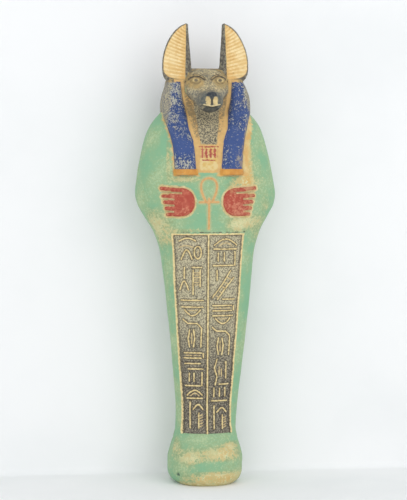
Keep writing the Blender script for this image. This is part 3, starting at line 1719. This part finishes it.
class PaintedLimestone:
    """Limestone, carved and rubbed smooth, under matte mineral paint that is worn through in places.

    The stone is dull and close-grained, so it gives an even, soft light without a gloss: IOR 1.5, no
    metal, high roughness. Brushed paint lies on it in two close tones a colour. Wear leaves it
    speckled with the cream of the stone, most on ridges, and dirt darkens the hollows.
    """

    # How strongly each pattern speaks where paint is worn off, and the sum at which wear starts and ends
    WEAR_WEIGHTS = (
        (Grain.FLECK, 0.8),
        (Grain.DUST, 0.9),
        (Grain.SPECK, 0.9),
        (Grain.PATCH, 0.6),
    )
    WEAR_START = 1.38
    WEAR_END = 1.85

    def __init__(self, scale: float) -> None:
        """Starts the material.

        Args:
            scale: Metres to a millimetre of the figure.
        """
        self.material = bpy.data.materials.new("painted_limestone")
        self.material.use_nodes = True
        self.tree = self.material.node_tree
        self.shader = self.tree.nodes["Principled BSDF"]
        place = add(self.tree, "ShaderNodeTexCoord").outputs["Object"]
        in_mm = add(self.tree, "ShaderNodeVectorMath", {0: place, "Scale": 1 / scale}, operation="SCALE")
        self.grains = {
            grain: add(
                self.tree,
                "ShaderNodeTexNoise",
                {"Vector": in_mm.outputs[0], "Scale": 1 / grain.value, "Detail": 3.0, "Roughness": 0.6},
            ).outputs[0]
            for grain in Grain
        }
        sizes = (Grain.PATCH, Grain.DUST, Grain.SPECK)
        self.flecks = self.weigh([(self.grains[size], 0.5) for size in sizes], -0.25)

    def attribute(self, name: str) -> bpy.types.NodeSocket:
        """A number kept on the mesh."""
        return add(self.tree, "ShaderNodeAttribute", attribute_name=name).outputs["Fac"]

    def weigh(
        self, parts: Iterable[tuple[bpy.types.NodeSocket, float]], start: float
    ) -> bpy.types.NodeSocket:
        """Adds patterns up, each by its weight.

        Args:
            parts: Each pattern and its weight.
            start: What the sum starts from.

        Returns:
            The sum.
        """
        total: bpy.types.NodeSocket | float = start
        for pattern, weight in parts:
            step_up = {0: pattern, 1: weight, 2: total}
            total = add(self.tree, "ShaderNodeMath", step_up, operation="MULTIPLY_ADD").outputs[0]
        return total

    def mask(self, where: Mask) -> bpy.types.NodeSocket:
        """Works a mask out.

        Args:
            where: Its attribute, limit and edge.

        Returns:
            1 where the mask holds and 0 elsewhere.
        """
        strayed = [(self.grains[where.grain], 2 * where.wander), (self.attribute(where.attribute), 1.0)]
        low, high = where.limit + where.soft, where.limit - where.soft
        if where.outside:
            low, high = high, low
        return add(
            self.tree,
            "ShaderNodeMapRange",
            {"Value": self.weigh(strayed, -where.wander), "From Min": low, "From Max": high},
            interpolation_type="SMOOTHSTEP",
        ).outputs[0]

    def tone(self, coat: Coat) -> bpy.types.NodeSocket:
        """Mixes the two tones of a coat by its grain.

        Args:
            coat: The coat.

        Returns:
            Its colour.
        """
        middle = 0.75 - coat.share / 2
        share = add(
            self.tree,
            "ShaderNodeMapRange",
            {
                "Value": self.grains[coat.grain],
                "From Min": middle - coat.blur,
                "From Max": middle + coat.blur,
            },
            interpolation_type="SMOOTHSTEP",
        ).outputs[0]
        tones = {0: share, 6: hex_colour(coat.main), 7: hex_colour(coat.second)}
        return add(self.tree, "ShaderNodeMix", tones, data_type="RGBA").outputs[2]

    def lay(
        self, under: bpy.types.NodeSocket, coat: Coat, worn: bpy.types.NodeSocket
    ) -> bpy.types.NodeSocket:
        """Lays a coat over what is there.

        Args:
            under: The colour below.
            coat: The coat.
            worn: How far paint is worn away, from 0 to 1.

        Returns:
            The new colour.
        """
        cover = self.weigh([(worn, -coat.wears)], 1.0)
        limits: list[bpy.types.NodeSocket | float] = [self.mask(where) for where in coat.masks]
        if coat.strength != 1.0:
            limits.append(coat.strength)
        if coat.scatter is not None:
            ends = {"From Min": coat.scatter - 0.05, "From Max": coat.scatter + 0.05}
            flecks = {"Value": self.flecks, **ends}
            limits.append(
                add(self.tree, "ShaderNodeMapRange", flecks, interpolation_type="SMOOTHSTEP").outputs[0]
            )
        for limit in limits:
            cover = add(self.tree, "ShaderNodeMath", {0: cover, 1: limit}, operation="MULTIPLY").outputs[0]
        layers = {0: cover, 6: under, 7: self.tone(coat)}
        return add(self.tree, "ShaderNodeMix", layers, data_type="RGBA").outputs[2]

    def worn(self) -> bpy.types.NodeSocket:
        """Works the wear out: on ridges, in the worn places, and in scattered chips.

        Returns:
            How far paint is worn away, from 0 to 1.
        """
        parts = [(self.grains[grain], weight) for grain, weight in self.WEAR_WEIGHTS]
        parts += [(self.attribute("wear"), 0.62), (self.attribute("convex"), 0.9)]
        return add(
            self.tree,
            "ShaderNodeMapRange",
            {"Value": self.weigh(parts, -0.4), "From Min": self.WEAR_START, "From Max": self.WEAR_END},
            interpolation_type="SMOOTHSTEP",
        ).outputs[0]

    def bare_stone(self) -> bpy.types.NodeSocket:
        """Colours the bare stone.

        Returns:
            Cream limestone with darker beds, and an orange stain where the photograph has one.
        """
        beds, spots = (
            add(
                self.tree,
                "ShaderNodeMapRange",
                {"Value": self.grains[grain], "From Min": low, "From Max": high},
                interpolation_type="SMOOTHSTEP",
            ).outputs[0]
            for grain, low, high in ((Grain.FLECK, 0.38, 0.62), (Grain.SPECK, 0.35, 0.55))
        )
        tones = {0: beds, 6: hex_colour("#e8dcaa"), 7: hex_colour("#d6c088")}
        stone = add(self.tree, "ShaderNodeMix", tones, data_type="RGBA").outputs[2]
        warm = {0: self.attribute("warm"), 1: spots}
        stain = add(self.tree, "ShaderNodeMath", warm, operation="MULTIPLY").outputs[0]
        stained = {0: stain, 6: stone, 7: hex_colour("#e2aa55")}
        return add(self.tree, "ShaderNodeMix", stained, data_type="RGBA").outputs[2]

    def finish(self) -> bpy.types.Material:
        """Lays the coats and the dirt over the stone, and sets the surface.

        Returns:
            The finished material.
        """
        tree, grains = self.tree, self.grains
        colour, worn = self.bare_stone(), self.worn()
        for coat in COATS + DETAILS:
            colour = self.lay(colour, coat, worn)
        hollow = add(
            tree,
            "ShaderNodeMapRange",
            {"Value": self.attribute("convex"), "From Min": -0.02, "From Max": -0.22, "To Max": 0.4},
            interpolation_type="SMOOTHSTEP",
        ).outputs[0]
        dirty = {0: hollow, 6: colour, 7: hex_colour("#5a4c38")}
        colour = add(tree, "ShaderNodeMix", dirty, data_type="RGBA").outputs[2]
        tree.links.new(colour, self.shader.inputs["Base Color"])
        self.shader.inputs["IOR"].default_value = 1.5
        self.shader.inputs["Metallic"].default_value = 0.0
        tree.links.new(self.weigh([(grains[Grain.BLOTCH], 0.25)], 0.62), self.shader.inputs["Roughness"])
        thick = self.weigh([(grains[Grain.SPECK], 1.0), (grains[Grain.DUST], 0.6), (worn, -0.5)], 0.0)
        bump = add(tree, "ShaderNodeBump", {"Height": thick, "Strength": 0.5, "Distance": 0.00022})
        tree.links.new(bump.outputs[0], self.shader.inputs["Normal"])
        return self.material


@dataclass(frozen=True)
class Weather:
    """How the carved surface has worn: slow waves and small pits, in mm."""

    wave_height: float = 0.9
    wave_length: float = 17.0
    pit_depth: float = 0.28
    pit_width: float = 3.4
    seed: float = 4.0


@dataclass(frozen=True)
class PaintPlan:
    """Where the paint changes on the figure, in mm.

    Heights are above the sole and widths from the middle. A pair is the foot and the top of a
    field, or else the value on the figure's right and on its left.
    """

    crown_foot: float = 261.0
    blue_top: float = 262.0
    dirt_foot: float = 226.0
    throat: tuple[float, float] = (203.8, 264.0)
    bib: tuple[float, float] = (222.0, 252.0)
    apron: tuple[float, float] = (205.5, 221.0)
    apron_half: float = 5.6
    strip_width: tuple[float, float] = (1.4, 2.4)
    flank_half: float = 23.6
    flank_slope: float = 0.14
    flank_shift: tuple[float, float] = (-0.8, 1.4)
    ear_half: float = 19.0
    dusty_foot: float = 92.0
    smile_half: float = 5.4
    pit_place: tuple[float, float] = (-19.6, 7.4)
    pit_radius: float = 1.1
    pit_depth: float = 1.1

    def outside(self, z: Place, field_ends: tuple[float, float]) -> Place:
        """Distance above or below a field of paint."""
        return np.maximum(field_ends[0] - z, z - field_ends[1])


@dataclass
class Figure:
    """The whole figure, carved from one block."""

    scale: float
    weather: Weather = field(default_factory=Weather)
    plan: PaintPlan = field(default_factory=PaintPlan)
    # How wide the rounded seam is with which each form joins those before it
    seams: tuple[tuple[str, float], ...] = (
        ("skull", 1.5),
        ("tail", 0.6),
        ("throat", 2.0),
        ("face", 1.2),
        ("lappets", 0.6),
        ("ears", 1.6),
        ("bands", 0.3),
    )
    shroud: Shroud = field(default_factory=Shroud)
    head: Head = field(default_factory=Head)
    ears: Ears = field(default_factory=Ears)
    hands: Hands = field(default_factory=Hands)
    wig: Wig = field(init=False)
    panel: Panel = field(init=False)

    def __post_init__(self) -> None:
        """Hangs the wig and the panel on the shroud."""
        self.wig = Wig(self.shroud)
        self.panel = Panel(self.shroud)

    def forms(self, points: Place) -> dict[str, Place]:
        """Distance to each form.

        Args:
            points: Places in mm, one to a row.

        Returns:
            Distances to each form by its name.
        """
        return {
            "shroud": self.shroud.distance(points),
            "skull": self.wig.skull(points),
            "tail": self.wig.tail(points),
            "lappets": self.wig.lappets(points),
            "bands": self.wig.lappets(points, self.wig.band_raise),
            "throat": self.head.throat(points),
            "face": self.head.distance(points),
            "ears": self.ears.distance(points),
        }

    def distance(self, points: Place) -> Place:
        """Distance to the whole figure.

        Args:
            points: Places in mm, one to a row.

        Returns:
            Distances in mm, negative inside.
        """
        forms = self.forms(points)
        whole = forms["shroud"]
        for name, seam in self.seams:
            whole = smooth_min(whole, forms[name], seam)
        return whole

    def fine(self, points: Place) -> tuple[Place, Place]:
        """Where the surface carries carving: the finest parts, and what needs half of that.

        Args:
            points: Places in mm, one to a row.

        Returns:
            True for the finest parts, and for those with the parts that need half of that.
        """
        x, y, z = points.T
        panel = (self.panel.distance(x, z) < 1.2) & (y < 0)
        hollow = (self.ears.hollow(x, z) < 1.4) & (y < 1.5)
        face = (self.head.distance(points) < 0.4) & (z > 236) & (y < -9) & (np.abs(x) < 15)
        front = (z > 158) & (y < 2)
        ears = z > self.ears.foot
        return panel | hollow | face, panel | hollow | face | front | ears

    def net(self) -> bmesh.types.BMesh:
        """The smooth form as one closed net, finer where it is carved.

        Returns:
            The net.
        """
        low = np.array([-50.0, -45.0, -0.8 * GRID_PITCH])
        high = np.array([50.0, 28.0, HEIGHT + 2.0])
        points, quads = surface_net(self.distance, low, high, GRID_PITCH)
        sides = np.concatenate([quads[:, [i, (i + 1) % 4]] for i in range(4)])
        edges = np.unique(np.sort(sides, axis=1), axis=0)
        points = pull(self.distance, points, 2)
        for _ in range(3):
            points = pull(self.distance, relax(points, edges, 0.5), 1)
        mesh = bpy.data.meshes.new("net")
        mesh.from_pydata(points.tolist(), [], quads.tolist())
        shape = bmesh.new()
        shape.from_mesh(mesh)
        bpy.data.meshes.remove(mesh)
        for level in (1, 0):
            points = np.array([vert.co for vert in shape.verts])
            chosen = self.fine(points)[level]
            shape.verts.ensure_lookup_table()
            split = [e for e in shape.edges if chosen[e.verts[0].index] and chosen[e.verts[1].index]]
            bmesh.ops.subdivide_edges(shape, edges=split, cuts=1, use_grid_fill=True)
            shape.verts.index_update()
            points = pull(self.distance, np.array([vert.co for vert in shape.verts]), 2)
            for vert, place in zip(shape.verts, points):
                vert.co = place
        flaps = [vert for vert in shape.verts if len(vert.link_edges) == 2]
        bmesh.ops.dissolve_verts(shape, verts=flaps)
        return shape

    def relief(self, points: Place, front: Place) -> Place:
        """How far the palms stand proud and the panel lies sunk, in mm.

        Args:
            points: Places in mm, one to a row.
            front: 1 where the surface faces the viewer, and 0 behind.

        Returns:
            Heights above the smooth form.
        """
        x, _, z = points.T
        sunk = -self.panel.depth * step(-self.panel.distance(x, z), -0.2, 0.5)
        depth = np.clip(-self.hands.palm(x, z) / 4.5, 0.0, 1.0)
        swell = 1.25 * self.hands.raised * np.sqrt(1 - (1 - depth) ** 2)
        across, up = self.plan.pit_place
        pit = -self.plan.pit_depth * np.exp(-((x - across) ** 2 + (z - up) ** 2) / self.plan.pit_radius)
        return front * (sunk + swell + pit)

    def zones(self, points: Place, front: Place) -> dict[str, Place]:
        """What the paint needs to know at each point, in mm.

        Args:
            points: Places in mm, one to a row.
            front: 1 where the surface faces the viewer, and 0 behind.

        Returns:
            One array of distances for each name that a mask reads.
        """
        x, y, z = points.T
        wide = np.abs(x)
        forms = self.forms(points)
        hair = np.minimum(np.minimum(forms["skull"], forms["tail"]), forms["lappets"])
        rest = np.minimum(np.minimum(forms["shroud"], forms["throat"]), forms["face"])
        others = np.minimum(np.minimum(rest, forms["ears"]), forms["bands"])
        hidden = FAR * (1 - front)
        lift = z - self.head.mouth_level
        plan = self.plan
        inner = self.wig.edges.at(z / HEIGHT)[0]
        skull = np.minimum(forms["skull"], forms["tail"])
        worn = patches(WORN_PLACES, x, z) * front
        side = np.where(x < 0, *plan.flank_shift)
        spots = {spot.name: spot.distance(points) for spot in self.head.spots()}
        return spots | {
            "lappet": forms["lappets"] - np.minimum(others, skull),
            "crown": plan.crown_foot - z,
            "below_crown": z - plan.blue_top,
            "low_crown": plan.dirt_foot - z,
            "between": np.maximum(wide - inner - 5.0, plan.outside(z, plan.throat)) + hidden,
            "strip": wide - inner + np.where(x < 0, *plan.strip_width),
            "flank": plan.flank_half + plan.flank_slope * np.clip(258 - z, 0, 60) + side - wide,
            "ear_out": plan.ear_half - wide,
            "dusty": plan.dusty_foot - z,
            "smile": wide - plan.smile_half,
            "pit": np.hypot(x - plan.pit_place[0], z - plan.pit_place[1]) - plan.pit_radius + hidden,
            "warm": patches(WARM_PLACES, x, z) * front,
            "jaw": self.head.jaw_line(x, z),
            "hair": hair - others,
            "edging": hair - others - 3.0 * step(x, 0.0, 12.0) * step(-z, -244.0, -232.0),
            "band": forms["bands"] - np.minimum(rest, hair),
            "face": forms["face"] - np.minimum(
                np.minimum(hair, forms["throat"]), np.minimum(forms["shroud"], forms["ears"])
            ),
            "ear": forms["ears"] - np.minimum(np.minimum(hair, forms["shroud"]), forms["face"]),
            "head_zone": np.maximum(self.wig.lappet_foot * HEIGHT - 1.0 - z, z - 258) + hidden,
            "bib": np.maximum(wide - 5.2 - 0.13 * (z - plan.bib[0]), plan.outside(z, plan.bib)) + hidden,
            "apron": np.maximum(wide - plan.apron_half, plan.outside(z, plan.apron)) + hidden,
            "hollow": self.ears.hollow(x, z) + hidden,
            "palm": self.hands.palm(x, z) + hidden,
            "panel": self.panel.distance(x, z) + hidden,
            "lintel": np.maximum(wide - self.panel.half(z), np.abs(z - self.panel.top - 1.25)) + hidden,
            "nose": self.head.nose(points),
            "lips": oval(wide - 2.1 - 0.08 * lift, lift - 2.7, 1.45, 2.7, 3.4) + FAR * (y > -34),
            "wear": worn,
            "dirty": 0.5 - worn,
            "clear_of_sole": step(z, 0.3, 2.5),
        }

    def cuts(self) -> list[Cut]:
        """Every family of carved lines.

        Returns:
            The families, in the order in which they are carved.
        """
        panel, hands, head = self.panel, self.hands, self.head
        collar = [[(x, 213.4), (x, 219.2)] for x in np.linspace(-5.4, 5.4, 9)]
        collar += [bar(-6.2, 6.2, 220.6), bar(-4.2, 4.2, 212.0)]
        return [
            Cut("rails", panel.rails(), panel.rail_width / 2, panel.rail_raise),
            Cut("strokes", panel.strokes(False), 0.42 * panel.stroke_width, 0.05, 0.3),
            Cut("hatching", panel.strokes(True), 0.3, -0.3, 0.25),
            Cut("fingers", hands.fingers(), hands.finger_width / 2 - 0.25, 0.85 * hands.raised, 0.5),
            Cut("gaps", hands.gaps(), 0.35, 0.1, 0.45, deep=True),
            Cut("cross", hands.cross(), hands.cross_line / 2, 0.8),
            Cut("collar", collar, 0.3, 0.12, 0.25),
            Cut("brows", head.brows(), 0.62, 0.6, 0.3),
            Cut("lids", head.lids(), 0.3, 0.35, 0.25),
            Cut("ribs", self.ears.rib_lines(), 0.45, 0.42, 0.4),
            Cut("mouth", head.mouth(-0.55), 0.4, 0.35, 0.3, in_space=True),
            Cut("parting", head.mouth(-1.6), 0.45, -1.0, 0.4, deep=True, in_space=True),
            Cut("cleft", head.cleft(), 0.3, -0.5, 0.35, deep=True, in_space=True),
        ]

    def carve(self, thing: bpy.types.Object, material: bpy.types.Material) -> None:
        """Carves the lines and the wear of the stone, and leaves a plain mesh.

        Args:
            thing: The object that is changed.
            material: The material that it gets.
        """
        tree = carve_tree()
        guides = []
        for cut in self.cuts():
            guide = line_object(f"guide_{cut.name}", cut.lines, self.scale)
            guides.append(guide)
            run_tree(
                thing,
                tree,
                {
                    "Guide": guide,
                    "Half Width": cut.half_width * self.scale,
                    "Edge": cut.edge * self.scale,
                    "Level": cut.level * self.scale,
                    "Depth Counts": 1.0 if cut.in_space else 0.0,
                    "Cut In": cut.deep,
                    "Keep As": cut.name,
                    "Material": material,
                },
            )
        worn = {
            "Wave Height": self.weather.wave_height * self.scale,
            "Wave Scale": 1 / (self.weather.wave_length * self.scale),
            "Pit Depth": self.weather.pit_depth * self.scale,
            "Pit Scale": 1 / (self.weather.pit_width * self.scale),
            "Seed": self.weather.seed,
            "Material": material,
        }
        run_tree(thing, press_tree(), worn)
        graph = bpy.context.evaluated_depsgraph_get()
        mesh = bpy.data.meshes.new_from_object(thing.evaluated_get(graph))
        thing.modifiers.clear()
        old = thing.data
        thing.data = mesh
        bpy.data.meshes.remove(old)
        for guide in guides:
            bpy.data.objects.remove(guide)

    def keep(self, mesh: bpy.types.Mesh, values: dict[str, Place]) -> None:
        """Keeps one number a point on the mesh for each name.

        Args:
            mesh: The mesh.
            values: One array of numbers for each name.
        """
        for name, value in values.items():
            layer = mesh.attributes.get(name) or mesh.attributes.new(name, "FLOAT", "POINT")
            layer.data.foreach_set("value", np.ascontiguousarray(value, dtype=np.float32))

    def build(self, material: bpy.types.Material) -> bpy.types.Object:
        """Makes the figure.

        Args:
            material: Its painted stone.

        Returns:
            One object with its place in its mesh.
        """
        shape = self.net()
        mesh = bpy.data.meshes.new("carved_figure")
        shape.to_mesh(mesh)
        shape.free()
        points, normals = mesh_places(mesh)
        front = step(-normals[:, 1], 0.05, 0.3)
        values = self.zones(points, front)
        values["front"] = front
        values["relief"] = self.relief(points, front) * self.scale
        self.keep(mesh, values)
        mesh.vertices.foreach_set("co", (points * self.scale).ravel())
        thing = bpy.data.objects.new("carved_figure", mesh)
        bpy.context.scene.collection.objects.link(thing)
        self.carve(thing, material)
        mesh = thing.data
        mesh.name = "carved_figure"
        points, normals = mesh_places(mesh)
        self.keep(mesh, {"convex": bends(mesh, points, normals)})
        for cut in self.cuts():
            self.keep(mesh, {cut.name: read(mesh, cut.name) / self.scale})
        fingers = read(mesh, "fingers")
        self.keep(mesh, {"fist": np.minimum(read(mesh, "palm"), fingers - self.hands.finger_width / 2)})
        mesh.shade_smooth()
        return thing


def read(mesh: bpy.types.Mesh, name: str) -> Place:
    """The numbers kept on a mesh under a name.

    Args:
        mesh: The mesh.
        name: Name of the attribute.

    Returns:
        One number for each point.
    """
    values = np.empty(len(mesh.vertices), dtype=np.float32)
    mesh.attributes[name].data.foreach_get("value", values)
    return values.astype(float)


def mesh_places(mesh: bpy.types.Mesh) -> tuple[Place, Place]:
    """Points and normals of a mesh.

    Args:
        mesh: The mesh.

    Returns:
        Points and normals, one to a row.
    """
    count = len(mesh.vertices)
    points, normals = np.empty(count * 3), np.empty(count * 3)
    mesh.vertices.foreach_get("co", points)
    mesh.vertex_normals.foreach_get("vector", normals)
    return points.reshape(-1, 3), normals.reshape(-1, 3)


def bends(mesh: bpy.types.Mesh, points: Place, normals: Place) -> Place:
    """How sharply the surface bends at each point: above 0 on ridges, below 0 in hollows.

    Args:
        mesh: The mesh.
        points: Places in mm, one to a row.
        normals: The normal at each point.

    Returns:
        One number for each point.
    """
    edges = np.empty(len(mesh.edges) * 2, dtype=int)
    mesh.edges.foreach_get("vertices", edges)
    edges = edges.reshape(-1, 2)
    lengths = np.linalg.norm(points[edges[:, 0]] - points[edges[:, 1]], axis=1)
    total = np.bincount(edges.ravel(), np.repeat(lengths, 2), len(points))
    count = np.bincount(edges.ravel(), minlength=len(points))
    apart = relax(points, edges, 1.0) - points
    bend = -(apart * normals).sum(1) / np.maximum(total / np.maximum(count, 1), 1e-9)
    column = np.repeat(bend[:, None], 3, 1)
    return relax(column, edges, 0.6)[:, 0]


@dataclass(frozen=True)
class Lamp:
    """A soft square lamp, in metres and watts."""

    name: str
    place: tuple[float, float, float]
    size: float
    watts: float


@dataclass
class Studio:
    """A pale floor that turns up behind the figure, soft lamps, and the camera of the photograph."""

    wall: float = 0.030
    bend: float = 0.004
    floor_reach: float = 1.6
    half_width: float = 2.4
    wall_height: float = 1.9
    lamps: tuple[Lamp, ...] = (
        Lamp("key_lamp", (0.72, -1.25, 0.95), 1.2, 7.2),
        Lamp("fill_lamp", (-0.9, -1.3, 0.5), 1.6, 5.8),
    )
    surround: tuple[float, float, float, float] = (0.90, 0.95, 1.0, 1.0)
    surround_strength: float = 0.69
    azimuth: float = -7.0
    elevation: float = 4.0
    distance: float = 1.3
    target: tuple[float, float, float] = (0.0, 0.0, 0.150)
    metres_a_pixel: float = 0.0006571
    across: float = 204.3
    down: float = 253.7

    def backdrop(self) -> bpy.types.Object:
        """White plastered sweep with faint trowel marks.

        Returns:
            The sweep.
        """
        start, bend, width = self.wall - self.bend, self.bend, self.half_width
        profile = [(-self.floor_reach, 0.0), (start, 0.0)]
        profile += [
            (start + bend * math.sin(t), bend - bend * math.cos(t)) for t in np.linspace(0.1, 1.5, 9)
        ]
        profile += [(self.wall, bend), (self.wall, self.wall_height)]
        shape = bmesh.new()
        rows = [[shape.verts.new((side * width, y, z)) for side in (-1, 1)] for y, z in profile]
        for low, high in zip(rows, rows[1:]):
            shape.faces.new((low[0], low[1], high[1], high[0]))
        mesh = bpy.data.meshes.new("plaster_sweep")
        shape.to_mesh(mesh)
        shape.free()
        mesh.shade_smooth()
        made = bpy.data.objects.new("plaster_sweep", mesh)
        bpy.context.scene.collection.objects.link(made)
        mesh.materials.append(self.plaster())
        return made

    def plaster(self) -> bpy.types.Material:
        """White plaster, trowelled: matte, with very faint clouds.

        Returns:
            The material. It shows from the front only, so that a view from behind isn't blocked.
        """
        material = bpy.data.materials.new("white_plaster")
        material.use_nodes = True
        tree = material.node_tree
        shader = tree.nodes["Principled BSDF"]
        place = add(tree, "ShaderNodeTexCoord").outputs["Object"]
        clouds = add(tree, "ShaderNodeTexNoise", {"Vector": place, "Scale": 9.0, "Detail": 4.0}).outputs[0]
        share = add(
            tree,
            "ShaderNodeMapRange",
            {"Value": clouds, "From Min": 0.35, "From Max": 0.7},
            interpolation_type="SMOOTHSTEP",
        ).outputs[0]
        tones = {0: share, 6: hex_colour("#f9f8f7"), 7: hex_colour("#f3f3f2")}
        colour = add(tree, "ShaderNodeMix", tones, data_type="RGBA").outputs[2]
        tree.links.new(colour, shader.inputs["Base Color"])
        shader.inputs["Roughness"].default_value = 0.85
        behind = add(tree, "ShaderNodeNewGeometry").outputs["Backfacing"]
        clear = add(tree, "ShaderNodeBsdfTransparent").outputs[0]
        one_sided = add(tree, "ShaderNodeMixShader", {0: behind, 1: shader.outputs[0], 2: clear}).outputs[0]
        tree.links.new(one_sided, tree.nodes["Material Output"].inputs["Surface"])
        return material

    def light(self) -> None:
        """Key lamp from the right of the camera, a fill from its left, and a pale surround."""
        for lamp in self.lamps:
            data = bpy.data.lights.new(lamp.name, "AREA")
            data.energy = lamp.watts
            data.size = lamp.size
            made = bpy.data.objects.new(lamp.name, data)
            made.location = lamp.place
            aim = Vector(self.target) - Vector(lamp.place)
            made.rotation_euler = aim.to_track_quat("-Z", "Y").to_euler()
            bpy.context.scene.collection.objects.link(made)
        world = bpy.data.worlds.new("pale_surround")
        world.use_nodes = True
        shade = world.node_tree.nodes["Background"]
        shade.inputs["Color"].default_value = self.surround
        shade.inputs["Strength"].default_value = self.surround_strength
        bpy.context.scene.world = world

    def camera(self) -> None:
        """The camera at the photograph's angle and framing."""
        turn, rise = math.radians(self.azimuth), math.radians(self.elevation)
        away = Vector((math.sin(turn) * math.cos(rise), -math.cos(turn) * math.cos(rise), math.sin(rise)))
        data = bpy.data.cameras.new("camera")
        data.sensor_fit = "VERTICAL"
        data.sensor_height = 24.0
        wide, tall = PHOTO_SIZE
        data.lens = data.sensor_height * self.distance / (tall * self.metres_a_pixel)
        data.shift_x = -(self.across - wide / 2) / tall
        data.shift_y = (self.down - tall / 2) / tall
        data.clip_end = 20.0
        made = bpy.data.objects.new("camera", data)
        made.location = Vector(self.target) + away * self.distance
        made.rotation_euler = (-away).to_track_quat("-Z", "Y").to_euler()
        bpy.context.scene.collection.objects.link(made)
        bpy.context.scene.camera = made

    def set_up(self) -> None:
        """Builds the whole studio."""
        self.backdrop()
        self.light()
        self.camera()
        bpy.context.scene.view_settings.view_transform = "Standard"


def main() -> None:
    """Builds the figure and the studio around it, and notes the sizes."""
    logging.basicConfig(level=logging.INFO, format="%(message)s")
    low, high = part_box(NODE)
    scale = (high[2] - low[2]) / HEIGHT
    stone = PaintedLimestone(scale).finish()
    figure = Figure(scale).build(stone)
    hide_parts(NODE)
    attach(figure, "root")
    LOG.info("carved figure: %d points, %d faces", len(figure.data.vertices), len(figure.data.polygons))
    triangles = sum(len(face.vertices) - 2 for face in figure.data.polygons)
    LOG.info("carved figure: %d triangles", triangles)
    Studio().set_up()
    LOG.info("studio: sweep, lamps and camera")
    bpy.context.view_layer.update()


if __name__ == "__main__":
    main()
